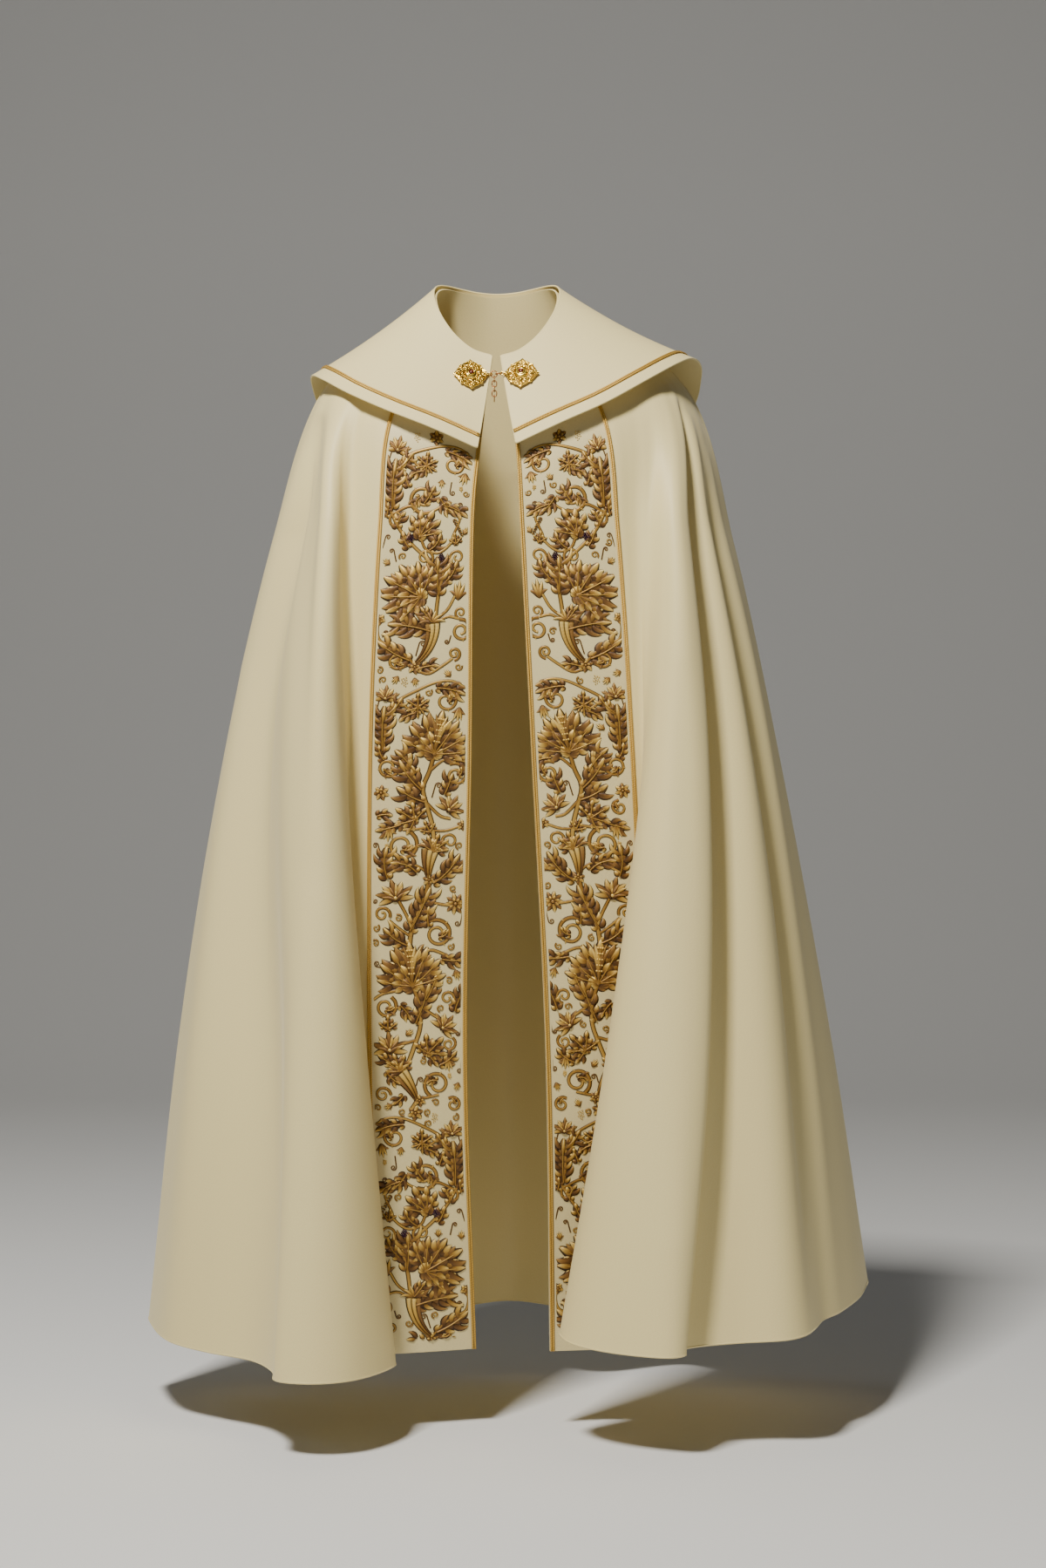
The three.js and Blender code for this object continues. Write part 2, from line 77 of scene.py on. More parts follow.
# ---------- the sections of the hanging cloth, as in the part's source ----------
# Points are [x, y] or [x, y, z], from the front edge to the side. Right and left are the wearer's.
RIGHT_ARM = {
    "shoulder": [
        [-20, -126, -188], [-80, -127, -168], [-140, -117, -146], [-166, -104, -135],
        [-177, -96, -130], [-187, -92, -126], [-197, -88, -122], [-206, -80, -118],
        [-213, -70, -114], [-219, -58, -110], [-224, -46, -107], [-228, -35, -104],
        [-232, -24, -102], [-234, -12, -100], [-236, 0, -99], [-237, 14, -98],
    ],
    "chest": [
        [-29, -142], [-92, -143], [-156, -138], [-182, -127], [-195, -122], [-204, -134],
        [-209, -152], [-217, -163], [-228, -155], [-239, -131], [-251, -109], [-268, -92],
        [-280, -72], [-293, -42], [-303, -8], [-308, 30],
    ],
    "hip": [
        [-32, -138], [-100, -141], [-169, -138], [-189, -128], [-196, -127], [-199, -148],
        [-199, -175], [-207, -204], [-226, -214], [-250, -202], [-277, -170], [-303, -126],
        [-326, -98], [-350, -58], [-368, -8], [-380, 50],
    ],
    "knee": [
        [-39, -112], [-105, -118], [-171, -120], [-203, -116], [-212, -130], [-190, -147],
        [-171, -172], [-180, -216], [-206, -246], [-240, -250], [-275, -222], [-305, -165],
        [-335, -125], [-375, -75], [-415, -15], [-447, 75],
    ],
    "hem": [
        [-28, -70, -1405], [-97, -93, -1405], [-164, -112, -1405], [-197, -110, -1407],
        [-207, -126, -1408], [-165, -134, -1409], [-133, -152, -1410], [-149, -208, -1410],
        [-188, -262, -1410], [-236, -281, -1410], [-284, -262, -1410], [-303, -206, -1410],
        [-335, -134, -1410], [-395, -72, -1410], [-452, -8, -1406], [-491, 95, -1400],
    ],
}
LEFT_ARM = {
    "shoulder": [
        [26, -126, -186], [85, -127, -166], [143, -117, -144], [165, -107, -135],
        [178, -100, -130], [188, -95, -126], [197, -90, -122], [206, -84, -118],
        [214, -77, -114], [222, -69, -111], [229, -59, -108], [236, -49, -105],
        [240, -39, -103], [245, -29, -101], [249, -19, -100], [253, -9, -99],
        [256, 0, -98], [258, 8, -97], [260, 16, -97], [262, 24, -98],
    ],
    "chest": [
        [32, -142], [98, -143], [163, -137], [178, -132], [188, -130], [197, -130],
        [205, -133], [214, -140], [224, -149], [235, -154], [247, -151], [256, -139],
        [257, -116], [268, -96], [280, -78], [291, -60], [301, -41], [310, -21],
        [319, 3], [326, 32],
    ],
    "hip": [
        [47, -139], [115, -140], [183, -134], [194, -132], [199, -136], [197, -144],
        [196, -153], [198, -167], [208, -190], [228, -208], [256, -208], [278, -190],
        [281, -162], [302, -140], [322, -116], [340, -88], [354, -62], [369, -34],
        [382, 5], [393, 60],
    ],
    "knee": [
        [66, -120], [133, -112], [201, -106], [222, -108], [231, -122], [200, -138],
        [163, -146], [146, -166], [155, -206], [190, -243], [240, -259], [274, -242],
        [287, -208], [325, -185], [362, -158], [394, -112], [410, -72], [430, -40],
        [452, 15], [468, 85],
    ],
    "hem": [
        [72, -88, -1405], [140, -76, -1405], [207, -68, -1403], [228, -72, -1400],
        [237, -88, -1396], [180, -112, -1385], [120, -132, -1372], [86, -160, -1366],
        [98, -206, -1372], [145, -252, -1375], [214, -284, -1376], [244, -276, -1375],
        [251, -243, -1373], [320, -217, -1370], [385, -206, -1367], [424, -172, -1361],
        [438, -115, -1358], [465, -73, -1355], [499, 5, -1350], [523, 111, -1345],
    ],
}
BACK = {  # depth, flute height and level of each section's back
    "shoulder": (124, 0, -172),
    "chest": (154, 6, -300),
    "hip": (194, 15, -600),
    "knee": (238, 25, -1000),
    "hem": (272, 33, -1408),
}
# Crests and valleys across the back, as shares of its flute.
FLUTES = [0.3, -0.9, 1, -0.7, 0.8, -1, 1.2, -1, 0.9, -0.7, 1.1, -1, 0.4]
LEVEL_KNOTS = [0, 170, 330, 640, 1045, 1450]  # cloth length from the neckline to it and to each level

# The collar's outer edge, from its right front corner round the back to its left one.
COLLAR_EDGE = [
    [-25, -150, -196], [-85, -150, -169], [-147, -136, -143], [-198, -103, -117],
    [-236, -55, -92], [-254, 0, -80], [-257, 50, -88], [-246, 93, -120],
    [-206, 127, -188], [-142, 151, -250], [-72, 164, -288], [0, 168, -300],
    [74, 166, -290], [152, 154, -252], [226, 132, -186], [275, 103, -112],
    [285, 70, -72], [281, 34, -58], [267, -6, -57], [245, -50, -70],
    [205, -98, -97], [147, -135, -133], [86, -150, -162], [27, -150, -190],
]
COLLAR_ANGLES = [  # the same points at the neckline, in degrees round it
    4, 22, 40, 57, 73, 88, 102, 115, 130, 146, 163, 180,
    197, 214, 230, 244, 256, 268, 282, 297, 312, 326, 341, 356,
]


# ---------- curves ----------
def stack(*values):
    """Points or UVs from their coordinates, spread to one shape."""
    return np.stack(np.broadcast_arrays(*values), axis=-1)


def weights(knots, t):
    """How much each of a smooth curve's points counts at each t: cubic pieces with chord tangents."""
    knots = np.asarray(knots, float)
    t = np.atleast_1d(np.asarray(t, float))
    last = len(knots) - 1
    i = np.clip(np.searchsorted(knots, t, "left") - 1, 0, last - 1)
    span = knots[i + 1] - knots[i]
    f = (t - knots[i]) / span
    rows = np.arange(len(t))
    out = np.zeros((len(t), last + 1))
    np.add.at(out, (rows, i), 2 * f**3 - 3 * f**2 + 1)
    np.add.at(out, (rows, i + 1), 3 * f**2 - 2 * f**3)
    for k, share in ((i, f**3 - 2 * f**2 + f), (i + 1, f**3 - f**2)):
        a = np.maximum(k - 1, 0)
        b = np.minimum(k + 1, last)
        slope = share * span / (knots[b] - knots[a])
        np.add.at(out, (rows, b), slope)
        np.add.at(out, (rows, a), -slope)
    return out


def neckline(angle, half_width, half_depth, drop):
    """A tilted oval, low at the throat. The angle runs from the throat to the right arm."""
    height = NECK_HEIGHT - drop - NECK_TILT * np.cos(angle) - NECK_SADDLE * np.cos(2 * angle)
    return stack(-half_width * np.sin(angle), -half_depth * np.cos(angle), height)


def unit(v):
    return v / np.maximum(np.linalg.norm(v, axis=-1, keepdims=True), 1e-12)


def section(level):
    """One horizontal cut of the cloth: right arm, back with its flutes, left arm."""
    depth, flute, z = BACK[level]
    right, left = (
        np.array([p if len(p) == 3 else [*p, z] for p in arm[level]], float)
        for arm in (RIGHT_ARM, LEFT_ARM)
    )
    left = left[::-1]
    a, b = right[-1], left[0]
    s = (np.arange(len(FLUTES)) + 1) / (len(FLUTES) + 1)
    angle = np.pi * s
    half = (b[0] - a[0]) / 2
    side = a[1] + (b[1] - a[1]) * s
    drop = np.sin(angle) ** BACK_FULLNESS
    side_z = a[2] + (b[2] - a[2]) * s
    back = stack(
        (a[0] + b[0]) / 2 - half * np.cos(angle),
        side + (depth - side) * drop,
        side_z + (z - side_z) * drop,
    )
    away = unit(stack(-np.cos(angle) * (depth - side), np.sin(angle) * half, 0))
    back += away * flute * np.array(FLUTES)[:, None]
    return np.concatenate([right, back, left])


SECTIONS = [section(level) for level in BACK]
LAST = len(SECTIONS[0]) - 1  # the fold line at the left front edge


def neck_ring():
    """The body's neckline points: straight up from the shoulder ring, apart at the throat."""
    ring = SECTIONS[0]
    angle = np.arctan2(-ring[:, 0], -ring[:, 1])
    gap = math.radians(NECK_GAP)
    return neckline(angle - gap * np.cos(angle) * np.sign(angle), *BODY_NECK)


RINGS = np.stack([neck_ring(), *SECTIONS])
# Knots across the cloth: the mean spacing of the fold lines, softened so that tight turns stay round.
SPACING = np.mean(
    [np.sqrt(np.linalg.norm(np.diff(ring, axis=0), axis=1)) for ring in SECTIONS[1:]], axis=0
)
FOLD_KNOTS = np.concatenate([[0], np.cumsum(SPACING)])


def body_points(folds, downs):
    """The body's middle surface on a grid: fold lines 0 to LAST by levels 0 (neckline) to 5 (hem)."""
    across = np.interp(folds, np.arange(LAST + 1), FOLD_KNOTS)
    length = np.interp(downs, np.arange(6), LEVEL_KNOTS)
    curves = np.einsum("uf,rfk->ruk", weights(FOLD_KNOTS, across), RINGS)
    return np.einsum("vr,ruk->uvk", weights(LEVEL_KNOTS, length), curves)


def collar_points(arounds, outs):
    """The collar's middle surface on a grid: columns round the neck by 0 (neck) to 1 (edge)."""
    w = weights(np.arange(len(COLLAR_EDGE)), arounds)
    neck = w @ neckline(np.radians(COLLAR_ANGLES), *COLLAR_NECK)
    edge = w @ np.array(COLLAR_EDGE, float)
    out = np.asarray(outs)[None, :, None]
    points = neck[:, None] * (1 - out) + edge[:, None] * out
    points[..., 2] -= COLLAR_SAG * np.sin(np.pi * out[..., 0])
    return points


class Patch:
    """A fine grid of a surface, with its outward normals. It can be read anywhere by its two parameters."""

    def __init__(self, points, us, vs):
        self.us, self.vs, self.points = us, vs, points
        du = np.gradient(points, us, axis=0)
        dv = np.gradient(points, vs, axis=1)
        self.normals = unit(np.cross(du, dv))

    def at(self, u, v, lift=0.0):
        """The points at parameters u and v, lifted off the surface."""
        i = np.interp(u, self.us, np.arange(len(self.us)))
        j = np.interp(v, self.vs, np.arange(len(self.vs)))
        i0 = np.minimum(i.astype(int), len(self.us) - 2)
        j0 = np.minimum(j.astype(int), len(self.vs) - 2)
        a, b = (i - i0)[..., None], (j - j0)[..., None]

        def read(grid):
            return (
                grid[i0, j0] * (1 - a) * (1 - b)
                + grid[i0 + 1, j0] * a * (1 - b)
                + grid[i0, j0 + 1] * (1 - a) * b
                + grid[i0 + 1, j0 + 1] * a * b
            )

        normal = unit(read(self.normals))
        return read(self.points) + normal * np.asarray(lift)[..., None], normal


def bump(x, middle, width):
    """A smooth rise to 1 at the middle, nothing a width away from it."""
    return np.exp(-(((x - middle) / width) ** 2))


# Soft creases of the hanging cloth: the points each passes (fold line, level), its half width in fold lines
# and its height. A negative height is a valley.
CREASES = [
    (
        [(10.2, 1.2), (12.0, 2.0), (12.6, 2.5), (12.5, 3.0), (12.2, 3.5), (11.6, 4.3), (11.4, 5.3)],
        1.5, -37,
    ),
    ([(12.4, 1.4), (13.8, 2.1), (14.2, 2.9), (13.8, 4.2), (13.4, 5.3)], 0.9, 8),
    ([(7.6, 1.3), (8.0, 2.2), (8.4, 3.4)], 0.6, 5),
    ([(9.0, 3.4), (9.8, 4.2), (10.0, 5.3)], 0.7, 5),
    ([(14.8, 2.6), (14.6, 4.0), (14.9, 5.3)], 0.5, -5),
    ([(36.2, 1.1), (35.5, 2.0), (35.4, 3.0), (35.6, 4.0), (35.6, 5.3)], 0.7, -24),
    ([(34.6, 1.2), (34.0, 2.2), (33.8, 3.4), (34.1, 5.3)], 0.8, 14),
    ([(32.8, 1.6), (32.4, 2.4), (32.2, 3.2), (32.8, 4.1), (33.0, 5.3)], 0.6, -15),
    ([(31.4, 1.4), (31.0, 2.6), (31.4, 4.0), (31.6, 5.3)], 0.6, 6),
    ([(38.6, 2.6), (38.0, 3.6), (37.8, 4.6)], 0.7, -6),
    ([(17.5, 1.4), (17.2, 3.0), (17.0, 4.6)], 0.5, 4),
    ([(22.4, 1.2), (22.9, 2.4), (22.8, 3.8)], 0.5, 5),
    ([(27.0, 1.8), (26.8, 3.4), (26.6, 5.3)], 0.5, -4),
]


def creased(points, folds, downs):
    """Adds the creases, and a slight unevenness that hanging wool always has."""
    patch = Patch(points, folds, downs)
    u, v = np.meshgrid(folds, downs, indexing="ij")
    rise = UNEVENNESS * np.sin(2.3 * u + 1.7 * v) * np.sin(1.1 * v - 0.6 * u) * np.clip(v - 1, 0, 1)
    for path, width, height in CREASES:
        places, levels = np.array(path, float).T
        middle = weights(levels, np.clip(downs, levels[0], levels[-1])) @ places
        t = np.clip((downs - levels[0]) / (levels[-1] - levels[0]), 0, 1)
        rise += height * np.sin(np.pi * t) ** 0.7 * bump(u, middle, width)
    return points + patch.normals * rise[..., None]


# ---------- meshes ----------
class Parts:
    """Points, faces and UVs of one mesh, gathered piece by piece. Millimetres."""

    def __init__(self):
        self.points, self.faces, self.uvs, self.count = [], [], [], 0

    def grid(self, points, uvs=None, wrap=False):
        """A grid of quads. points is (n, m, 3) and uvs (n, m, 2). wrap closes it along its second side."""
        n, m = points.shape[:2]
        if uvs is None:
            uvs = np.zeros((n, m, 2))
        i, j = np.meshgrid(np.arange(n - 1), np.arange(m if wrap else m - 1), indexing="ij")
        k = (j + 1) % m
        quads = np.stack([i * m + j, (i + 1) * m + j, (i + 1) * m + k, i * m + k], axis=-1)
        self.faces.append(quads.reshape(-1, 4) + self.count)
        self.points.append(points.reshape(-1, 3))
        self.uvs.append(uvs.reshape(-1, 2))
        self.count += n * m

    def mesh(self, name, material, smooth=True):
        """Makes the mesh's object, in metres."""
        points = np.concatenate(self.points) * MM
        faces = np.concatenate(self.faces)
        uvs = np.concatenate(self.uvs)
        mesh = bpy.data.meshes.new(name)
        mesh.vertices.add(len(points))
        mesh.vertices.foreach_set("co", points.ravel())
        mesh.loops.add(faces.size)
        mesh.loops.foreach_set("vertex_index", faces.ravel())
        mesh.polygons.add(len(faces))
        mesh.polygons.foreach_set("loop_start", np.arange(0, faces.size, 4))
        mesh.update(calc_edges=True)
        layer = mesh.uv_layers.new(name="UVMap")
        layer.data.foreach_set("uv", uvs[faces.ravel()].ravel())
        mesh.polygons.foreach_set("use_smooth", np.full(len(faces), smooth))
        mesh.validate()
        mesh.materials.append(material)
        obj = bpy.data.objects.new(name, mesh)
        bpy.context.collection.objects.link(obj)
        return obj


def make_piece(parts, name, mat, node=None, body="cope", smooth=True):
    """One piece of the object, which rides on a body and stands for its CAD node if it has one."""
    piece = parts.mesh(name, mat, smooth)
    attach(piece, body)
    if node:
        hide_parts(node)
    return piece


def lengths_along(points, axis=0):
    """The length from the start to each point of a line, or of each line of a grid along one axis."""
    steps = np.linalg.norm(np.diff(points, axis=axis), axis=-1)
    start = np.zeros_like(np.take(steps, [0], axis=axis))
    return np.concatenate([start, np.cumsum(steps, axis=axis)], axis=axis)


def arc_uvs(points):
    """UVs in metres of cloth: across and down."""
    return stack(lengths_along(points, 0), lengths_along(points, 1)) * MM


RIM_UV = 0.002  # width of a wall's rim on the UV map, in metres


def wall(parts, patch, low, high):
    """A closed wall on a patch, between two lifts."""
    uvs = arc_uvs(patch.points)
    outer = patch.points + patch.normals * high
    inner = patch.points + patch.normals * low
    parts.grid(outer, uvs)
    parts.grid(inner[:, ::-1], uvs[:, ::-1])
    for a, b, uv in (
        (inner[0], outer[0], uvs[0]),
        (outer[-1], inner[-1], uvs[-1]),
        (outer[:, 0], inner[:, 0], uvs[:, 0]),
        (inner[:, -1], outer[:, -1], uvs[:, -1]),
    ):
        parts.grid(np.stack([a, b]), np.stack([uv, uv + RIM_UV]))


def tube(parts, line, normal, radius, sides=8, flat=1.0, closed=False):
    """A tube along a line, its ends capped unless it is closed. flat squashes it along the normal."""
    line = np.asarray(line, float)
    if closed:
        tangent = unit(np.roll(line, -1, axis=0) - np.roll(line, 1, axis=0))
    else:
        tangent = unit(np.gradient(line, axis=0))
    side = unit(np.cross(tangent, normal))
    normal = np.cross(side, tangent)
    angle = np.linspace(0, 2 * np.pi, sides, endpoint=False)
    radius = np.broadcast_to(np.asarray(radius, float), (len(line),))
    ring = (
        line[:, None]
        + side[:, None] * (radius[:, None] * np.cos(angle))[..., None]
        - normal[:, None] * (flat * radius[:, None] * np.sin(angle))[..., None]
    )
    uv = stack(angle / (2 * np.pi), lengths_along(line)[:, None] * MM)
    if closed:
        ring = np.concatenate([ring, ring[:1]])
        uv = np.concatenate([uv, uv[:1]])
    else:
        first, last = (np.broadcast_to(end, (1, sides, 3)) for end in (line[0], line[-1]))
        ring = np.concatenate([first, ring, last])
        uv = np.concatenate([uv[:1], uv, uv[-1:]])
    parts.grid(ring, uv, wrap=True)


# ---------- materials ----------
def material(name, colour, roughness, metallic=0.0, sheen=0.0, specular=0.5):
    mat = bpy.data.materials.new(name)
    mat.use_nodes = True
    shader = mat.node_tree.nodes["Principled BSDF"]
    shader.inputs["Base Color"].default_value = (*colour, 1)
    shader.inputs["Roughness"].default_value = roughness
    shader.inputs["Metallic"].default_value = metallic
    shader.inputs["Sheen Weight"].default_value = sheen
    shader.inputs["Sheen Roughness"].default_value = 0.4
    shader.inputs["Specular IOR Level"].default_value = specular
    return mat


def node(mat, kind, **values):
    made = mat.node_tree.nodes.new(kind)
    for name, value in values.items():
        made.inputs[name.replace("_", " ")].default_value = value
    return made


def join(mat, source, target):
    mat.node_tree.links.new(source, target)


def shader_of(mat):
    return mat.node_tree.nodes["Principled BSDF"]


def add_bump(mat, height, strength, distance):
    made = node(mat, "ShaderNodeBump", Strength=strength, Distance=distance)
    join(mat, height, made.inputs["Height"])
    join(mat, made.outputs["Normal"], shader_of(mat).inputs["Normal"])


def scaled_uv(mat, scale):
    uv = node(mat, "ShaderNodeUVMap")
    uv.uv_map = "UVMap"
    mapping = node(mat, "ShaderNodeMapping")
    mapping.inputs["Scale"].default_value = scale
    join(mat, uv.outputs["UV"], mapping.inputs["Vector"])
    return mapping.outputs["Vector"]


def maths(mat, operation, *values):
    """A math node's output. Each value is a socket or a number."""
    made = node(mat, "ShaderNodeMath")
    made.operation = operation
    for socket, value in zip(made.inputs, values):
        if isinstance(value, float):
            socket.default_value = value
        else:
            join(mat, value, socket)
    return made.outputs[0]


def ramp(mat, factor, colours):
    """A colour ramp through evenly spread colours."""
    made = node(mat, "ShaderNodeValToRGB")
    elements = made.color_ramp.elements
    for _ in range(len(colours) - 2):
        elements.new(0.5)
    for i, colour in enumerate(colours):
        elements[i].position = i / (len(colours) - 1)
        elements[i].color = (*colour, 1)
    join(mat, factor, made.inputs["Fac"])
    return made.outputs["Color"]


def tint(mat, factor, dark, light):
    """Colours a material between two tones."""
    join(mat, ramp(mat, factor, [dark, light]), shader_of(mat).inputs["Base Color"])


def blend_colours(mat, factor, first, second):
    made = node(mat, "ShaderNodeMix")
    made.data_type = "RGBA"
    join(mat, factor, made.inputs[0])
    join(mat, first, made.inputs[6])
    join(mat, second, made.inputs[7])
    return made.outputs[2]


# The gold thread's colours from a shape's root to its tip, lit and in painted shade: painted shade at the
# root, a painted highlight at the tip.
LIT_GOLD_RAMP = [(0.11, 0.05, 0.011), (0.33, 0.17, 0.03), (0.68, 0.43, 0.09), (0.95, 0.73, 0.26)]
SHADED_BRONZE_RAMP = [(0.06, 0.026, 0.007), (0.14, 0.064, 0.016), (0.27, 0.135, 0.034), (0.48, 0.28, 0.075)]
# A shape's dark edges: partly a dark outline stitch, partly painted shade where the padding turns away.
OUTLINE_AND_EDGE_SHADE = (0.04, 0.019, 0.008)
OUTLINE_SHADE_FROM, OUTLINE_SHADE_TO = 0.34, 0.84  # where it begins and is full, from a shape's middle to its edge


def cope_cloth():
    """Wool with a satin face: a fine nap, nearly even in colour."""
    mat = material("cope_cloth", (0.84, 0.68, 0.34), 0.5, sheen=0.12, specular=0.3)
    nap = node(mat, "ShaderNodeTexNoise", Scale=1.0, Detail=4.0, Roughness=0.6)
    join(mat, scaled_uv(mat, (900, 500, 1)), nap.inputs["Vector"])
    tint(mat, nap.outputs["Fac"], (0.77, 0.625, 0.28), (0.91, 0.785, 0.405))
    add_bump(mat, nap.outputs["Fac"], 0.25, 0.0004)
    return mat


def orphrey_satin():
    """Ivory satin, with a fine warp down the band."""
    mat = material("orphrey_satin", (0.84, 0.70, 0.38), 0.38, specular=0.3)
    weave = node(mat, "ShaderNodeTexNoise", Scale=1.0, Detail=2.0, Roughness=0.5)
    join(mat, scaled_uv(mat, (260, 1500, 1)), weave.inputs["Vector"])
    tint(mat, weave.outputs["Fac"], (0.66, 0.55, 0.27), (0.82, 0.70, 0.38))
    add_bump(mat, weave.outputs["Fac"], 0.2, 0.0003)
    return mat


def cord_gold():
    """Twisted gold cord, its strands slanting round each tube: painted shade in the grooves between the
    strands and a painted highlight on each strand.
    """
    mat = material("braid_gold", (0.62, 0.42, 0.12), 0.42, metallic=0.35)
    twist = node(mat, "ShaderNodeTexWave", Scale=1.0, Distortion=0.0)
    twist.wave_type = "BANDS"
    twist.bands_direction = "DIAGONAL"
    join(mat, scaled_uv(mat, (1.0, 330, 1)), twist.inputs["Vector"])
    # Dark bands are painted shade between the strands, light bands a painted highlight on them.
    tint(mat, twist.outputs["Fac"], (0.34, 0.17, 0.02), (0.86, 0.56, 0.12))
    add_bump(mat, twist.outputs["Fac"], 0.6, 0.0005)
    return mat


def thread_gold():
    """Padded metal thread. A shape's U runs across it, plus 0 where it is lit gold and 1 where it is bronze
    in painted shade, which also stands for the darker bronze work.

    V runs from painted shade at its root to a painted highlight at its tip. Its two edges are a dark
    outline, partly a dark stitch and partly painted shade where the padding turns away.
    """
    mat = material("thread_gold", (0.7, 0.48, 0.15), 0.42, metallic=0.3, specular=0.35)
    uv = node(mat, "ShaderNodeUVMap")
    uv.uv_map = "UVMap"
    split = node(mat, "ShaderNodeSeparateXYZ")
    join(mat, uv.outputs["UV"], split.inputs["Vector"])
    across = maths(mat, "FRACT", split.outputs["X"])
    tone = maths(mat, "FLOOR", split.outputs["X"])
    edge = maths(mat, "ABSOLUTE", maths(mat, "MULTIPLY_ADD", across, 2.0, -1.0))
    rim = node(mat, "ShaderNodeMapRange")
    rim.interpolation_type = "SMOOTHSTEP"
    rim.inputs["From Min"].default_value = OUTLINE_SHADE_FROM
    rim.inputs["From Max"].default_value = OUTLINE_SHADE_TO
    join(mat, edge, rim.inputs["Value"])
    # The lit ramp and the ramp in painted shade, each from painted shade at a shape's root to a painted
    # highlight at its tip.
    gold = ramp(mat, split.outputs["Y"], LIT_GOLD_RAMP)
    bronze = ramp(mat, split.outputs["Y"], SHADED_BRONZE_RAMP)
    thread = blend_colours(mat, tone, gold, bronze)
    # The outline: a dark stitch, and painted shade where the padding's edges turn away.
    dark = node(mat, "ShaderNodeRGB")
    dark.outputs[0].default_value = (*OUTLINE_AND_EDGE_SHADE, 1)
    colour = blend_colours(mat, rim.outputs["Result"], thread, dark.outputs[0])
    join(mat, colour, shader_of(mat).inputs["Base Color"])
    stitch = node(mat, "ShaderNodeTexWave", Scale=1.0, Distortion=0.4)
    stitch.bands_direction = "Y"
    join(mat, scaled_uv(mat, (1, 6, 1)), stitch.inputs["Vector"])
    add_bump(mat, stitch.outputs["Fac"], 0.35, 0.0004)
    return mat


def mottled_metal(name, tones, roughness, metallic, scale, detail):
    """A metal whose colour drifts between two tones, like worn gilding."""
    mat = material(name, tones[1], roughness, metallic)
    noise = node(mat, "ShaderNodeTexNoise", Scale=scale, Detail=detail)
    tint(mat, noise.outputs["Fac"], *tones)
    return mat


CREAM = cope_cloth()
SATIN = orphrey_satin()
CORD_GOLD = cord_gold()
GOLD = thread_gold()
PURPLE = material("thread_purple", (0.05, 0.012, 0.04), 0.35)
GILT = mottled_metal("gilt_metal", [(0.78, 0.46, 0.05), (1.0, 0.74, 0.16)], 0.2, 1.0, 260.0, 3.0)
# Painted shade: a dark gilt for the ground behind the filigree, standing for the shade in its hollows.
RECESS_SHADE = mottled_metal("gilt_recess_shade", [(0.16, 0.08, 0.015), (0.48, 0.30, 0.06)], 0.45, 0.8, 500.0, 2.0)
ROSE = mottled_metal("chain_metal", [(0.40, 0.15, 0.05), (0.78, 0.38, 0.16)], 0.28, 1.0, 400.0, 2.0)
RED = material("stone", (0.12, 0.016, 0.008), 0.08)


# ---------- the body ----------
def fold_columns(count):
    """Columns spread evenly over the cloth, in fold lines."""
    return np.interp(np.linspace(0, FOLD_KNOTS[-1], count), FOLD_KNOTS, np.arange(LAST + 1))


def make_body():
    """The cloak's cloth with its creases and a rolled hem."""
    columns, rows = BODY_GRID
    folds = fold_columns(columns)
    downs = np.linspace(0, 5, rows)
    patch = Patch(creased(body_points(folds, downs), folds, downs), folds, downs)
    parts = Parts()
    wall(parts, patch, -BODY_WALL / 2, BODY_WALL / 2)
    hem = patch.points[:, -1]
    tube(parts, hem + [0, 0, HEM_LIFT], patch.normals[:, -1], HEM_RIM, sides=6)
    return make_piece(parts, "cope_body", CREAM, "body")


# ---------- the bands ----------
BAND_FOLDS = {"right": (0.0, 2.0), "left": (float(LAST), float(LAST - 2))}


class Band:
    """One orphrey: reads points on it by the distance from its outer edge and the distance down."""

    def __init__(self, side):
        self.side = side
        inner, outer = BAND_FOLDS[side]
        columns, rows = BAND_GRID
        folds = np.linspace(min(inner, outer), max(inner, outer), columns)
        downs = np.linspace(ORPHREY_TOP, 5, rows)
        self.patch = Patch(body_points(folds, downs), folds, downs)
        self.inner, self.outer = inner, outer
        self.length = lengths_along(self.patch.points[columns // 2])
        self.width = float(lengths_along(self.patch.points)[-1].mean())

    def at(self, s, v, lift):
        """s from the outer edge, v down from the band's top, both in millimetres."""
        fold = self.outer + (self.inner - self.outer) * np.asarray(s) / self.width
        down = np.interp(v, self.length, self.patch.vs)
        return self.patch.at(fold, down, lift)


def make_band(band):
    """An orphrey's satin."""
    parts = Parts()
    wall(parts, band.patch, ORPHREY_LOW, ORPHREY_HIGH)
    name = f"orphrey_cloth_{band.side}"
    return make_piece(parts, name, SATIN, f"orphrey_{band.side}")


def make_braid(name, node, line_at):
    """Two cords side by side. line_at gives a cord's line and its normals from its place across."""
    parts = Parts()
    for off in (-CORD_OFFSET, CORD_OFFSET):
        tube(parts, *line_at(off), CORD / 2, flat=CORD_FLAT)
    return make_piece(parts, name, CORD_GOLD, node)


def make_band_braid(band, kind, centre):
    """A braid down a band, centre millimetres from its outer edge."""
    v = np.linspace(0, band.length[-1], BRAID_POINTS)

    def line_at(off):
        return band.at(centre + off + 0 * v, v, ORPHREY_HIGH + CORD_LIFT)

    node = f"{kind}_{band.side}"
    return make_braid(f"{node}_cords", node, line_at)


# ---------- the embroidery ----------
# Which ramp a shape takes: the gold for its lit side, the bronze for its side in painted shade and for the
# darker bronze work such as the tendrils.
LIT_GOLD_TONE, SHADED_BRONZE_TONE = 0, 1
LAYER = 0.12  # each layer of a shape is worked this much higher
LEAF_FULLNESS = 1.22  # how much wider the leaves are worked than charted
CORD_FULLNESS = 1.9  # the same for the cords


def heading(degrees):
    """The direction of an angle on the chart: 0 points to the band's inner edge and 90 down."""
    a = np.radians(degrees)
    return stack(np.cos(a), np.sin(a))


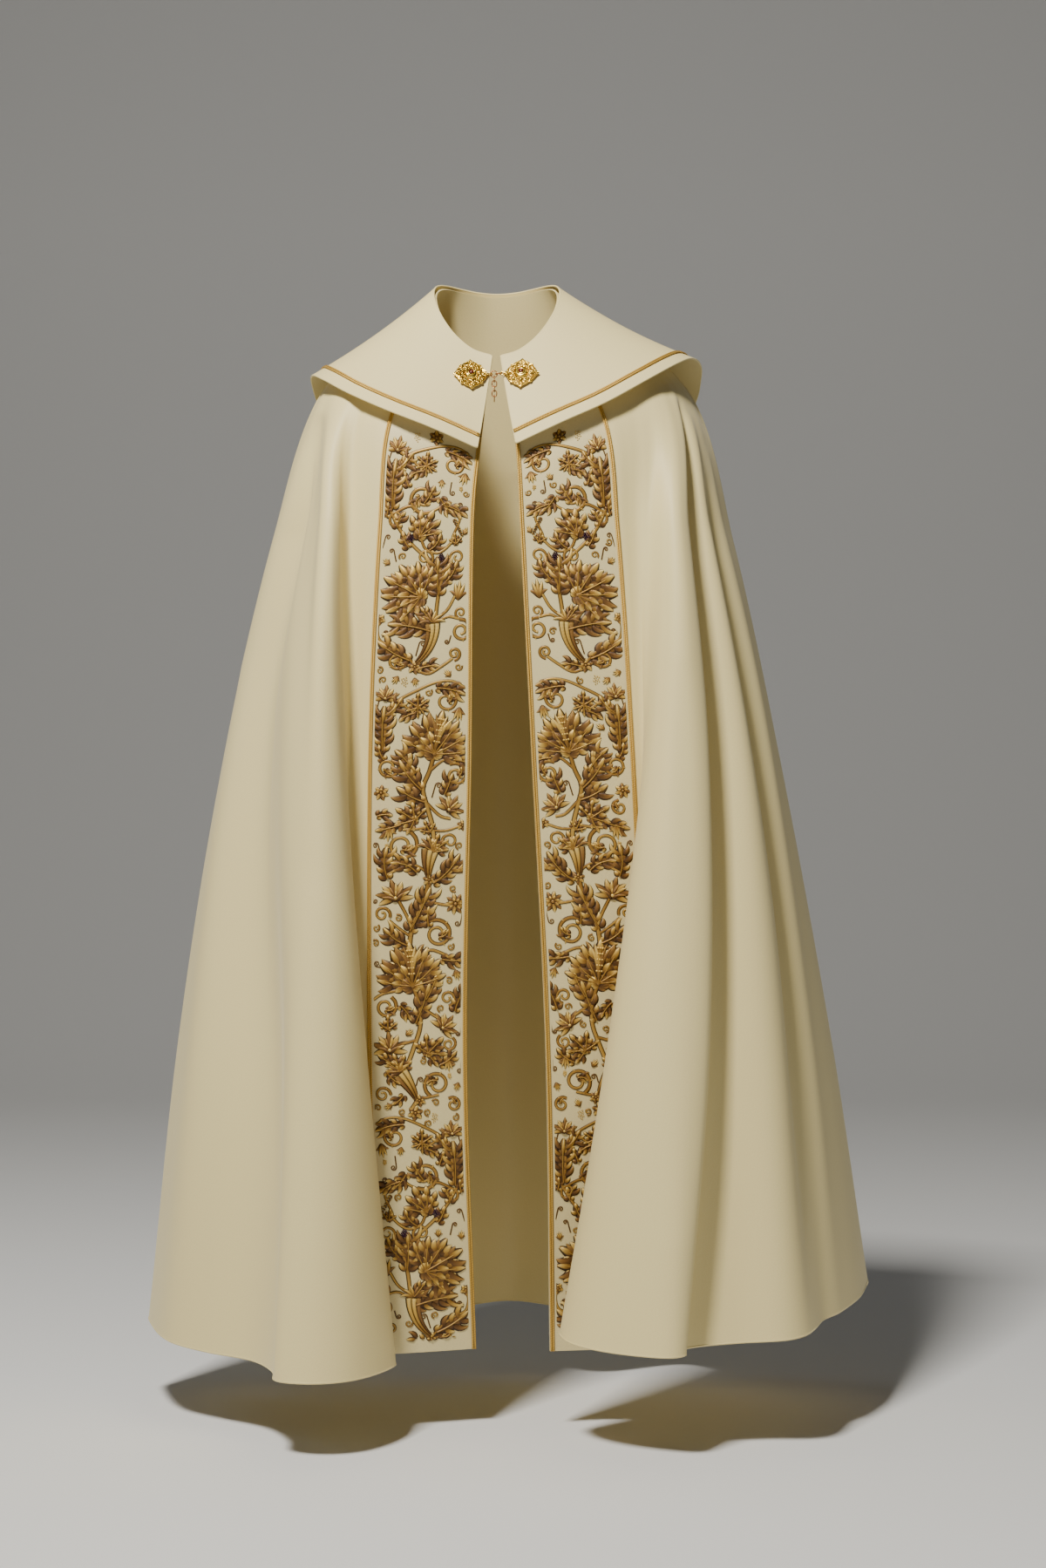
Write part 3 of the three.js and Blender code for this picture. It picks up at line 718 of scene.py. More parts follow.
def crosswise(v):
    return stack(-v[..., 1], v[..., 0])


def path_from(base, angle, length, bend, count=21):
    """A spine that leaves base at an angle and turns by bend along its length."""
    turn = angle + bend * np.linspace(0, 1, count)
    steps = heading(turn[1:]) * length / (count - 1)
    return np.asarray(base, float) + np.concatenate([[[0, 0]], np.cumsum(steps, axis=0)])


class Needle:
    """Draws embroidery on a flat chart: s from the band's outer edge and v down, in millimetres.

    Each stitched shape is a small grid of (s, v, height).
    """

    def __init__(self, width):
        self.width = width
        self.grids = {"gold": [], "purple": []}
        self.shift, self.mirror = 0.0, False

    def keep(self, thread, flat, height, uv, wrap=False):
        s = flat[..., 0]
        if self.mirror:
            s = self.width - s
        chart = stack(s, flat[..., 1] + self.shift, height)
        self.grids[thread].append((chart, uv, wrap))

    def ribbon(self, spine, half, height, tone=LIT_GOLD_TONE, across=5, shade=(0.0, 1.0)):
        """A domed ribbon along a spine, half its width each side. shade is its V at root and tip, from
        painted shade at 0 to a painted highlight at 1.

        U runs from 0.01 to 0.99 across it, so that U's whole part can say the tone: lit gold, or bronze in
        painted shade.
        """
        tangent = unit(np.gradient(spine, axis=0))
        x = np.linspace(-1, 1, across)
        flat = spine[:, None] + crosswise(tangent)[:, None] * (half[:, None] * x)[..., None]
        dome = np.sqrt(np.clip(1 - 0.97 * x**2, 0, 1))
        rise = ORPHREY_HIGH + height[:, None] * dome
        along = np.linspace(*shade, len(spine))
        uv = stack(tone + 0.01 + 0.49 * (x + 1), along[:, None])
        self.keep("gold", flat, rise, uv)

    def lobe(self, base, tip, width, bend=0.0, height=1.6, layer=0, tone=LIT_GOLD_TONE):
        """One padded lobe, widest near its middle, its tip drawn to a point."""
        base, tip = np.asarray(base, float), np.asarray(tip, float)
        along = tip - base
        control = (base + tip) / 2 + crosswise(along) * bend
        t = np.linspace(0, 1, 8)[:, None]
        spine = base * (1 - t) ** 2 + 2 * control * t * (1 - t) + tip * t**2
        shape = 1.9 * t[:, 0] ** 0.5 * (1 - t[:, 0]) ** 0.8
        rise = layer * LAYER + height * np.maximum(shape, 0.05) ** 0.5
        self.ribbon(spine, np.maximum(width / 2 * shape, 0.05), rise, tone)

    def cord(self, points, thick, thin=None, tone=LIT_GOLD_TONE, height=1.2, steps=4, layer=0):
        """A raised cord through points, tapering from thick to thin."""
        points = np.asarray(points, float)
        n = max(6, steps * (len(points) - 1))
        spine = weights(np.arange(len(points)), np.linspace(0, len(points) - 1, n)) @ points
        half = np.linspace(thick, thick if thin is None else thin, n) * CORD_FULLNESS / 2
        self.ribbon(spine, half, layer * LAYER + height + 0 * half, tone, shade=(0.3, 0.55))

    def dot(self, centre, radius, thread="gold", tone=LIT_GOLD_TONE, height=None):
        """A small round knot."""
        rings = np.linspace(0, 1, 4)
        around = np.linspace(0, 360, 7, endpoint=False)
        flat = centre + rings[:, None, None] * radius * heading(around)
        rise = ORPHREY_HIGH + (height or radius) * np.sqrt(np.clip(1 - rings**2, 0, 1))
        uv = stack(tone + 0.5 + 0.45 * rings[:, None] ** 3, 0.75 + 0 * around)
        self.keep(thread, flat, rise[:, None], uv, wrap=True)

    def scroll(self, centre, radius, start, turns, thick=2.2, leafy=False, tone=LIT_GOLD_TONE):
        """A spiral that starts at an angle on its rim and winds in, clockwise for positive turns."""
        n = max(10, int(15 * abs(turns)))
        t = np.linspace(0, 1, n)
        points = centre + (radius * (1.1 - 0.82 * t**0.9))[:, None] * heading(start + 360 * turns * t)
        self.cord(points, thick * 1.1, thick * 0.7, tone, steps=2)
        way = 1 if turns > 0 else -1
        for t0 in (0.1, 0.3) if radius > 8 else ():
            out = start + 360 * turns * t0
            at = centre + radius * (1 - 0.74 * t0**0.9) * heading(out)
            self.lobe(at, at + heading(out + 50 * way) * radius * 0.42, radius * 0.2, 0.3 * way, 1.3, 1)
        if leafy:
            out = start + 360 * turns - 60 * way
            self.leaf(points[-1], out, radius * 0.95, radius * 0.75, -80 * way, 2, 2)
        else:
            self.dot(points[-1], thick * 0.75, tone=tone, height=1.7)

    def tendril(self, centre, radius=4.0, start=90, turns=1.3, tail=10):
        """A thin dark curl with a tail that leaves it straight."""
        way = 1 if turns > 0 else -1
        t = np.linspace(0, 1, 14)
        curl = centre + (radius * (1 - 0.75 * t))[:, None] * heading(start + 360 * turns * t)
        back = heading(start - 90 * way)
        tip = curl[0] + back * tail + heading(start) * tail * 0.25
        points = [tip, (tip + curl[0]) / 2 + back * 0.1, *curl]
        self.cord(points, 1.0, 0.8, SHADED_BRONZE_TONE, 0.8, steps=1)
        self.dot(curl[-1], 1.0, tone=SHADED_BRONZE_TONE)

    def leaf(self, base, angle, length, width, bend=0.0, lobes=4, layer=0):
        """An acanthus leaf: claw-shaped lobes that lean forward from a bending rib, one half in painted
        shade.
        """
        t = np.linspace(0, 1, 21)
        spine = path_from(base, angle, length, bend)

        def on(x):
            return stack(np.interp(x, t, spine[:, 0]), np.interp(x, t, spine[:, 1]))

        width *= LEAF_FULLNESS
        pitch = length / (lobes + 0.6)
        half = width * 0.3 * np.sin(np.pi * np.clip(0.12 + 0.85 * t, 0, 1)) ** 0.7
        # The rib, like the barbs below, is bronze in painted shade.
        self.ribbon(spine, half, 0.9 + layer * LAYER + 0 * t, SHADED_BRONZE_TONE, 4)
        for i in range(lobes):
            x = (i + 0.1) / (lobes + 0.7)
            lean = 52 - 24 * x
            spread = width / 2 * math.sin(math.pi * (0.2 + 0.66 * x)) ** 0.7
            reach = spread / math.sin(math.radians(lean))
            for side in (-1, 1):
                long = reach * (1.0 if (i + (side > 0)) % 2 == 0 else 0.74)
                way = angle + bend * x + side * lean
                # Painted light: one side of each lobe pair is lit gold and the other bronze in painted
                # shade, swapped on every third lobe.
                tone = LIT_GOLD_TONE if (side > 0) == (i % 3 != 1) else SHADED_BRONZE_TONE
                if long > 7:  # room for a barb
                    fork = on(x) + heading(way) * long * 0.4
                    barb = fork + heading(way + 32 * side) * long * 0.42
                    self.lobe(fork, barb, pitch * 0.6, 0.2 * side, 1.3, layer + i, SHADED_BRONZE_TONE)
                tip = on(x) + heading(way) * long
                self.lobe(on(x), tip, pitch * 1.1, 0.4 * side, 1.6, layer + i, tone)
        self.lobe(on(0.6), on(1.0), pitch * 1.0, 0.0, 1.8, layer + lobes)
        vein = [on(x) for x in (0, 0.25, 0.5, 0.75)]
        self.cord(vein, 1.7, 0.7, height=2.1, steps=3, layer=layer + lobes)

    def fan(self, base, angle, size, fingers=5, spread=160, layer=0):
        """Small leaves fanned round a point: a vine leaf, a lily or a palmette."""
        middle = (fingers - 1) / 2
        order = sorted(range(fingers), key=lambda k: -abs(k - middle))
        for rank, k in enumerate(order):
            off = (k - middle) / middle
            long = size * (1 - 0.22 * abs(off))
            wide = long * min(0.5, 2.3 * math.radians(spread) / fingers / 2)
            lobes = 3 if size > 45 else 2
            self.leaf(base, angle + off * spread / 2, long, wide, -14 * off, lobes, layer + rank)
        self.dot(base, max(1.2, size * 0.06), tone=SHADED_BRONZE_TONE, height=3.0)

    def lotus(self, base, angle, size):
        """The large palmette: a wide fan behind a bud of scales."""
        self.fan(base, angle, size, 7, 165)
        for k, side in enumerate((-1, 1, -0.5, 0.5)):
            tip = base + heading(angle + 17 * side) * size * 0.92
            # The bud's scales on one side are bronze in painted shade, those on the other lit gold.
            tone = LIT_GOLD_TONE if k % 2 else SHADED_BRONZE_TONE
            self.lobe(base, tip, size * 0.2, -0.2 * side, 2.6, 8 + k, tone)
        for row in range(5):
            at = base + heading(angle) * size * (0.28 + 0.13 * row)
            for k in (-1, 0, 1):
                self.dot(at + crosswise(heading(angle)) * k * size * 0.05, size * 0.035, height=4.2)

    def flower(self, centre, radius, petals=8, layer=0):
        """A round flower: two rings of petals and a knotted heart."""
        rings = ((1.0, 0.0, petals), (0.62, 0.5, max(5, petals - 2)))
        for ring, (outer, offset, count) in enumerate(rings):
            for k in range(count):
                way = heading(360 * (k + offset) / count + 17) * radius
                wide = 2 * math.pi * radius * outer * 0.85 / count
                tone = SHADED_BRONZE_TONE if ring == 0 and k % 2 else LIT_GOLD_TONE
                self.lobe(centre + way * 0.15, centre + way * outer, wide, 0.08, 1.4, layer + 3 * ring, tone)
        self.dot(centre, radius * 0.2, tone=SHADED_BRONZE_TONE, height=2.8)

    def carnation(self, base, angle, radius, layer=0):
        """A full flower seen from the side: rows of petals above a cup of two sepals."""
        rows = ((1.0, 7, 200), (0.74, 6, 150), (0.48, 4, 90))
        for row, (reach, count, spread) in enumerate(rows):
            for k in range(count):
                off = spread * (k / (count - 1) - 0.5)
                tip = base + heading(angle + off) * radius * (reach + 0.12 * (k % 2))
                wide = 2.1 * radius * reach * math.radians(spread) / count / 2
                tone = SHADED_BRONZE_TONE if (k + row) % 2 else LIT_GOLD_TONE
                self.lobe(base, tip, wide, 0.06, 1.5 + 0.4 * row, layer + 2 * row, tone)
        foot = base - heading(angle) * radius * 0.25
        for side in (-1, 1):
            tip = base + heading(angle + 75 * side) * radius * 0.62
            self.lobe(foot, tip, radius * 0.3, -0.3 * side, 2.6, layer + 5, SHADED_BRONZE_TONE)
        self.dot(base, radius * 0.14, height=3.4)

    def bud(self, base, angle, size, layer=0):
        """A small closed flower between two curled sepals."""
        for side in (-1, 1):
            way = heading(angle + side * 48)
            self.lobe(base, base + way * size * 0.62, size * 0.3, -0.35 * side, 1.4, layer, SHADED_BRONZE_TONE)
        for side in (-1, 1, 0):
            way = heading(angle + side * 16)
            self.lobe(base, base + way * size * (1 - 0.12 * abs(side)), size * 0.32, 0, 1.7, layer + 2)

    def horn(self, base, angle, length, width, bend=0.0):
        """A ribbed cornucopia that widens to a leafy mouth."""
        spine = path_from(base, angle, length, bend, 12)
        half = width / 2 * (0.25 + 0.75 * np.linspace(0, 1, 12) ** 0.8)
        # One side of the horn, its outer rib and the lobes of its mouth, is bronze in painted shade; the
        # rest is lit gold.
        for row in (-0.66, 0.66, 0):
            offset = crosswise(unit(np.gradient(spine, axis=0))) * (half * row)[:, None]
            tone = SHADED_BRONZE_TONE if row < 0 else LIT_GOLD_TONE
            height = (2.5 if row == 0 else 1.9) + 0 * half
            self.ribbon(spine + offset, half * 0.42, height, tone, 5, (0.1, 0.85))
        mouth, out = spine[-1], angle + bend
        for k in (-84, 84, -50, 50, -18, 18):
            tip = mouth + heading(out + k) * width * 0.9
            tone = LIT_GOLD_TONE if k > 0 else SHADED_BRONZE_TONE
            self.lobe(mouth, tip, width * 0.36, -0.004 * k, 1.8, 5, tone)

    def grapes(self, centre, size=8.0):
        """A small bunch of purple knots."""
        for row, count in enumerate((2, 3, 4, 3, 2)):
            for k in range(count):
                at = np.array([k - (count - 1) / 2, 0.85 * (row - 2)]) * size * 0.26
                self.dot(centre + at, size * 0.125, "purple", height=3.0)

    def berries(self, centre, size=10.0):
        """A loose spray of light knots."""
        for k in range(13):
            at = heading(137.5 * k) * size * 0.14 * math.sqrt(k + 0.3)
            self.dot(centre + at * [0.8, 1.2], 0.95, height=1.2)

    def catkin(self, base, angle, length, width):
        """Scales in rows, to a point."""
        spine = path_from(base, angle, length, 0, 7)
        for row, at in enumerate(spine):
            # One row of scales is lit gold, the other bronze in painted shade.
            for side, tone in ((-1, LIT_GOLD_TONE), (1, SHADED_BRONZE_TONE)):
                tip = at + heading(angle + 35 * side) * width * 0.6 * (1 - 0.07 * row)
                self.lobe(at, tip, width * 0.42, 0, 1.6, row, tone)

    def bell(self, base, angle, size):
        """A drooping flower with a spray of knots below it."""
        self.bud(base, angle, size)
        self.berries(base + heading(angle) * size * 1.25, size * 0.3)

    def draw(self, chart):
        """Works a chart: for each kind of shape, its list of arguments."""
        for kind, shapes in chart.items():
            for arguments in shapes:
                getattr(self, kind)(*arguments)


# The charts. Points are (s, v). Angles are in degrees: 0 towards the inner edge, 90 down, -90 up.
CROWN = {
    "cord": [
        ([(21, 98), (23, 75), (25, 52), (38, 33), (64, 18), (86, 9), (106, 8), (122, 16)], 2.8, 1.8),
        ([(38, 33), (50, 44), (60, 48)], 2.0),
    ],
    "leaf": [
        ((20, 100), -94, 60, 27, 10, 6), ((28, 50), -40, 26, 18, -30, 3, 2), ((86, 17), 0, 40, 18, 26, 4),
        ((58, 50), 170, 22, 16, -40, 2),
    ],
    "fan": [((62, 42), -90, 20, 5, 235), ((62, 42), 90, 15, 3, 100)],
    "scroll": [((98, 34), 14, -80, 1.3, 2.4, True)],
    "bell": [((116, 42), 100, 21)],
    "berries": [((45, 8), 11)],
    "tendril": [((100, 75), 4, 200, -1.3, 14), ((9, 66), 3.4, 0, 1.2, 9), ((9, 40), 3.2, 0, 1.2, 8)],
    "carnation": [((22, 30), -86, 17)],
}
UPPER = {
    "cord": [
        ([(8, 90), (18, 104), (31, 126), (49, 147), (72, 168), (92, 186)], 2.6),
        ([(22, 106), (44, 96), (60, 106), (78, 100), (92, 90), (100, 98)], 2.4, 1.6),
        ([(58, 132), (66, 152), (84, 158), (100, 146), (104, 134)], 2.2),
        ([(92, 186), (86, 212), (83, 240), (82, 254)], 3.0), ([(83, 246), (98, 234), (108, 216)], 2.2),
        ([(57, 306), (42, 290), (26, 279), (12, 272), (8, 256), (12, 244)], 2.4, 1.8),
        ([(57, 312), (74, 318), (92, 308), (106, 298)], 2.2), ([(83, 252), (98, 243), (114, 246)], 2.2),
        ([(104, 134), (112, 112), (104, 100)], 2.0),
    ],
    "flower": [((70, 2), 11, 6), ((57, 309), 10, 6, 4), ((11, 244), 8, 5)],
    "leaf": [
        ((62, 92), -52, 28, 20, -20, 3), ((84, 84), 64, 30, 18, -34, 3), ((92, 94), 14, 36, 16, 24, 3),
        ((28, 124), -96, 24, 16, 60, 2), ((12, 110), -70, 18, 10, -30, 2), ((44, 150), -128, 24, 15, 30, 2),
        ((72, 154), -26, 28, 18, -60, 3), ((40, 72), -110, 20, 14, 0, 2), ((86, 214), -98, 52, 32, 12, 5),
        ((96, 196), -40, 32, 20, -44, 3), ((76, 262), -160, 56, 28, -16, 5),
        ((50, 300), -158, 50, 24, 22, 4), ((78, 250), -132, 26, 16, 10, 3), ((60, 312), -24, 30, 15, 30, 3),
    ],
    "fan": [((58, 136), -64, 40, 5, 115), ((62, 216), -150, 56, 7, 175), ((108, 146), -100, 16, 3, 110)],
    "scroll": [
        ((60, 86), 18, 60, 1.4, 2.8, True), ((26, 112), 10, 90, 1.2, 2.2), ((66, 164), 12, 90, -1.2, 2.2),
        ((110, 164), 10, 120, 1.3, 2.0), ((35, 300), 12, -30, 1.4, 2.4, True),
        ((117, 262), 14, -100, 1.5, 2.6), ((108, 292), 8, 90, -1.4, 2.2), ((116, 238), 7, 120, 1.2, 1.8),
    ],
    "catkin": [((104, 112), 62, 24, 9)],
    "bud": [((112, 222), -84, 28), ((118, 134), -60, 13)],
    "horn": [((58, 304), -38, 58, 20, -56)],
    "grapes": [((46, 138), 10), ((88, 164), 10)],
    "tendril": [
        ((112, 92), 3.6, 180, 1.3, 9), ((16, 136), 3.6, 180, 1.2, 14), ((22, 154), 3.2, 0, -1.2, 14),
        ((66, 278), 4.2, 180, 1.3, 16), ((98, 276), 3.4, 0, 1.3, 8), ((20, 262), 3.2, 180, 1.2, 6),
    ],
}
LOWER = {
    "cord": [
        ([(84, 103), (78, 127), (70, 150), (76, 175), (83, 200), (86, 226)], 3.2, 3.8),
        ([(80, 270), (74, 298), (60, 332), (56, 360), (58, 386), (60, 413)], 3.6),
        ([(60, 413), (69, 440), (70, 468), (62, 495), (50, 528)], 3.4), ([(66, 566), (57, 580)], 3.0),
        ([(78, 127), (96, 112), (116, 110), (126, 116)], 2.4, 1.8),
        ([(70, 150), (56, 132), (40, 130)], 2.4), ([(74, 168), (92, 186), (106, 190)], 2.4),
        ([(82, 206), (100, 206), (118, 200)], 2.0), ([(83, 200), (62, 204), (46, 205)], 2.2),
        ([(78, 262), (60, 252), (40, 258), (26, 266)], 2.2), ([(80, 276), (100, 268), (118, 252)], 2.2),
        ([(42, 300), (52, 320), (58, 336)], 2.4), ([(76, 300), (94, 304), (108, 306)], 2.2),
        ([(58, 348), (44, 338), (30, 326)], 2.2), ([(58, 380), (80, 366), (98, 370), (114, 380)], 2.4),
        ([(60, 414), (40, 420), (22, 424), (9, 432)], 2.2), ([(68, 440), (86, 452), (96, 458)], 2.4),
        ([(66, 486), (46, 492), (34, 496)], 2.4), ([(64, 492), (84, 502), (100, 508)], 2.2),
        ([(68, 566), (86, 562), (94, 560)], 2.2),
    ],
    "lotus": [((84, 104), -80, 58), ((60, 414), -95, 60)],
    "flower": [
        ((19, 156), 11, 7), ((122, 199), 8, 6), ((80, 272), 9, 6, 4), ((115, 304), 15, 9),
        ((68, 568), 9, 6, 4),
    ],
    "carnation": [
        ((104, 178), -60, 20), ((38, 296), -105, 24), ((100, 470), -50, 20), ((30, 500), -95, 24),
    ],
    "leaf": [
        ((60, 130), -118, 40, 22, -20, 4), ((22, 112), -130, 22, 14, 40, 2), ((108, 112), 0, 26, 14, 30, 2),
        ((68, 152), -140, 50, 26, 30, 4), ((72, 168), -165, 40, 22, 30, 3),
        ((98, 158), -66, 30, 20, -10, 3), ((44, 198), 158, 34, 16, 14, 3), ((28, 270), -112, 44, 22, 40, 4),
        ((64, 262), -128, 38, 20, -60, 4), ((86, 276), -32, 52, 22, -34, 5),
        ((56, 340), -60, 64, 26, -12, 6), ((80, 334), -100, 28, 18, 20, 3),
        ((54, 360), -160, 40, 22, 34, 4), ((56, 386), -30, 34, 18, -20, 3), ((98, 378), 12, 32, 18, -20, 3),
        ((78, 432), -60, 38, 20, -14, 3), ((64, 464), -66, 60, 22, -10, 5),
        ((116, 448), -78, 42, 18, 30, 4), ((40, 520), -164, 30, 16, 24, 3),
        ((96, 520), -20, 30, 16, -40, 3), ((44, 440), 40, 26, 16, 30, 3), ((26, 530), 60, 26, 14, -40, 3),
    ],
    "fan": [
        ((60, 192), -146, 28, 5, 210), ((80, 208), -116, 18, 3, 120), ((85, 234), -76, 26, 5, 150),
        ((28, 472), -90, 20, 3, 120), ((80, 504), -46, 30, 5, 210), ((44, 528), -112, 26, 5, 150),
    ],
    "horn": [((79, 268), -98, 36, 22, 20), ((64, 566), -112, 40, 22, -16)],
    "scroll": [
        ((27, 122), 13, 0, 1.4, 2.4, True), ((112, 132), 15, -120, 1.4, 2.6, True),
        ((45, 226), 19, -60, 1.4, 2.8, True), ((106, 220), 11, 100, 1.3, 2.2),
        ((92, 344), 18, -120, 1.5, 2.8, True), ((21, 318), 10, 20, -1.3, 2.2),
        ((25, 442), 14, -60, 1.4, 2.6, True), ((106, 430), 10, 80, -1.3, 2.2),
        ((108, 492), 9, -60, 1.3, 2.0), ((92, 546), 17, 120, 1.4, 2.8, True), ((20, 560), 10, 0, -1.3, 2.2),
    ],
    "bell": [((30, 200), 96, 22), ((106, 510), 84, 20)],
    "bud": [((116, 262), -40, 18), ((116, 392), 70, 16), ((52, 236), -60, 12)],
    "tendril": [
        ((90, 146), 4.2, 180, 1.3, 16), ((12, 226), 4, 0, -1.3, 12), ((118, 330), 4, 0, 1.2, 14),
        ((70, 302), 3.6, 180, 1.2, 14), ((12, 300), 3.4, 180, -1.2, 8), ((122, 528), 4, 0, 1.3, 12),
        ((70, 540), 4, 180, 1.3, 8), ((14, 384), 4, 90, 1.3, 12), ((34, 392), 3.6, 0, -1.3, 10),
        ((120, 478), 3.4, 0, 1.3, 8),
    ],
}
# Each repeat's charts, its start below the first one, and whether it is mirrored.
REPEATS = [((CROWN, UPPER), 0, False), ((CROWN, LOWER), 320, False), ((CROWN, UPPER), 903, True)]
CHART_TOP = 56  # the first repeat's start below the band's top edge, which the collar covers
MARGIN = 9.0  # ground between the embroidery and the band's edges, top and lower end
TOP_MARGIN = 4
BOTTOM_MARGIN = 14
CELL = 2.0  # squares of ground that the fillers are fitted to
SPARE_ROWS = 8  # for shapes that are charted past the band's lower end
FILLER_MARGIN = 3  # more ground kept clear round the fillers
FILLER_REACH = 8  # from the lowest filler's place to the embroidery's lower end
FILLER_TRIES = 1500
FILLER_SEED = 7


def fill(needle, room, place, angle):
    """One filler, which needs this many free cells on each side."""
    back = place - heading(angle) * room * 2.2
    if room == 5:
        needle.scroll(place, 9.5, angle, 1.3, 2.2, True)
    elif room == 4:
        needle.leaf(back, angle, 20, 14, 40, 2)
    elif room == 3:
        needle.bud(back, angle, 13)
    else:
        needle.scroll(place, 4.6, angle, 1.2, 1.3)


def fill_gaps(needle, top, bottom):
    """Curls, leaves and buds in what is left of the ground, the large ones first."""
    cols, rows = int(needle.width / CELL) + 1, int(bottom / CELL) + SPARE_ROWS
    taken = np.zeros((cols, rows), bool)
    for grids in needle.grids.values():
        for chart, _, _ in grids:
            flat = (chart[..., :2].reshape(-1, 2) / CELL).astype(int)
            taken[np.clip(flat[:, 0], 0, cols - 1), np.clip(flat[:, 1], 0, rows - 1)] = True
    rng = np.random.default_rng(FILLER_SEED)
    for room in (5, 4, 3, 2):
        clear = MARGIN + (room - 2) * CELL + FILLER_MARGIN
        for _ in range(FILLER_TRIES):
            place = np.array([rng.uniform(clear, needle.width - clear), rng.uniform(top, bottom)])
            i, j = (place / CELL).astype(int)
            around = np.s_[max(0, i - room) : i + room + 1, max(0, j - room) : j + room + 1]
            if not taken[around].any():
                fill(needle, room, place, float(rng.uniform(0, 360)))
                taken[around] = True


def embroider(band):
    """Works the charts and the fillers on a band. Returns its pieces."""
    needle = Needle(band.width)
    for charts, start, mirror in REPEATS:
        needle.shift, needle.mirror = CHART_TOP + start, mirror
        for chart in charts:
            needle.draw(chart)
    needle.shift, needle.mirror = 0.0, False
    bottom = band.length[-1] - BOTTOM_MARGIN
    fill_gaps(needle, CHART_TOP, bottom - FILLER_REACH)
    made = []
    for thread, mat in (("gold", GOLD), ("purple", PURPLE)):
        parts = Parts()
        for chart, uv, wrap in needle.grids[thread]:
            if (chart[..., 1] < TOP_MARGIN).any() or (chart[..., 1] > bottom).any():
                continue
            s = np.clip(chart[..., 0], MARGIN, band.width - MARGIN)
            points, normal = band.at(s, chart[..., 1], chart[..., 2])
            along = points[-1, 0] - points[0, 0]
            across = points[-1, 1 if wrap else -1] - points[-1, 0]
            if np.dot(np.cross(along, across), normal[0, 0]) < 0:
                points, uv = points[:, ::-1], uv[:, ::-1]  # a mirrored shape is turned to face out
            parts.grid(points, uv, wrap)
        made.append(make_piece(parts, f"embroidery_{thread}_{band.side}", mat))
    return made


# ---------- the collar ----------
def make_collar():
    """The collar's cloth with rolled edges, its braid, and the patch that they lie on."""
    columns, rows = COLLAR_GRID
    arounds = np.linspace(0, len(COLLAR_EDGE) - 1, columns)
    outs = np.linspace(0, 1, rows)
    patch = Patch(collar_points(arounds, outs), arounds, outs)
    parts = Parts()
    wall(parts, patch, -COLLAR_WALL / 2, COLLAR_WALL / 2)
    for edge in (np.s_[:, -1], np.s_[:, 0], np.s_[0], np.s_[-1]):
        tube(parts, patch.points[edge], patch.normals[edge], COLLAR_RIM)
    collar = make_piece(parts, "collar_cloth", CREAM, "collar")
    length = np.linalg.norm(patch.points[:, -1] - patch.points[:, 0], axis=1)

    def line_at(off):
        out = 1 - (COLLAR_MARGIN + BRAID_WIDTH / 2 + off) / length
        return patch.at(arounds, out, COLLAR_WALL / 2 + CORD_LIFT)

    return collar, make_braid("collar_cords", "collar_braid", line_at), patch


# ---------- the clasp ----------
# Heights in a rosette are from its back, and places are from its stone.
ROSETTE_RADIUS = 24.5
RIM_POINTS = 240
ROPE_GRAINS = 56
SIDE_GRAINS = ((19.0, 0.14, 1.5), (16.6, 0.55, 1.4), (12.2, 0.62, 1.3))  # distance, angle off axis, size
AXIS_GRAINS = ((20.6, 1.5), (16.6, 1.7), (11.4, 1.6))  # distance and size, along each lobe's axis
CUSP_GRAINS = ((17.6, 1.4), (13.4, 1.9), (10.0, 1.3))  # the same, between each two lobes
BOSS_PROFILE = (  # radius and height
    (9.4, 1.2), (9.0, 3.0), (7.6, 4.2), (7.0, 5.2), (6.4, 5.6), (5.6, 5.2),
    (5.0, 5.6), (4.7, 6.6), (4.1, 7.0), (3.5, 6.6), (3.3, 5.6), (0.01, 5.6),
)
BOSS_GRAINS = 22
SHADE_GROUND_PROFILE = (  # size and height of the rings of the dark ground, which is painted shade in the filigree's hollows
    (0.01, 0.3), (23.2, 0.3), (23.2, 1.1), (0.01, 1.1),
)
STONE_CENTRE = 7.3
STONE_RADIUS = 3.2
STONE_RISE = 1.9
EYE_REACH = 4.0  # rosette's tip to the middle of its eye's outer wire
EYE_RADIUS = 2.75
EYE_HALF_WIDTH = 2.4
EYE_HEIGHT = 1.5
EYE_WIRE = 0.8  # radius
RING = (10.4, 10.4)  # length and width over the wire
LINK = (10.2, 8.0)
LINK_WIRE = 1.6  # diameter
LINK_SQUARENESS = 9  # how sharply its ends turn into its straight sides
STRAND = 0.44  # radius of one of a wire's two twisted strands
STRAND_OFFSET = 0.36  # a strand's middle from the wire's
TWISTS = 9  # turns of the strands round each link


def world_points(name):
    """A CAD node's points, in millimetres."""
    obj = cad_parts[name]
    return np.array([obj.matrix_world @ v.co for v in obj.data.vertices]) / MM


class Stand:
    """A rosette's own axes at its stone: x level, y up and z out of the collar there."""

    def __init__(self, stone, collar):
        centre = world_points(stone)
        centre = (centre.max(axis=0) + centre.min(axis=0)) / 2
        away = np.linalg.norm(collar.points - centre, axis=-1)
        self.z = collar.normals[np.unravel_index(away.argmin(), away.shape)]
        self.x = unit(np.cross([0, 0, 1], self.z))
        self.y = np.cross(self.z, self.x)
        self.origin = centre - self.z * STONE_CENTRE

    def place(self, points):
        points = np.asarray(points, float)
        axes = np.stack([self.x, self.y, self.z])
        return self.origin + points @ axes


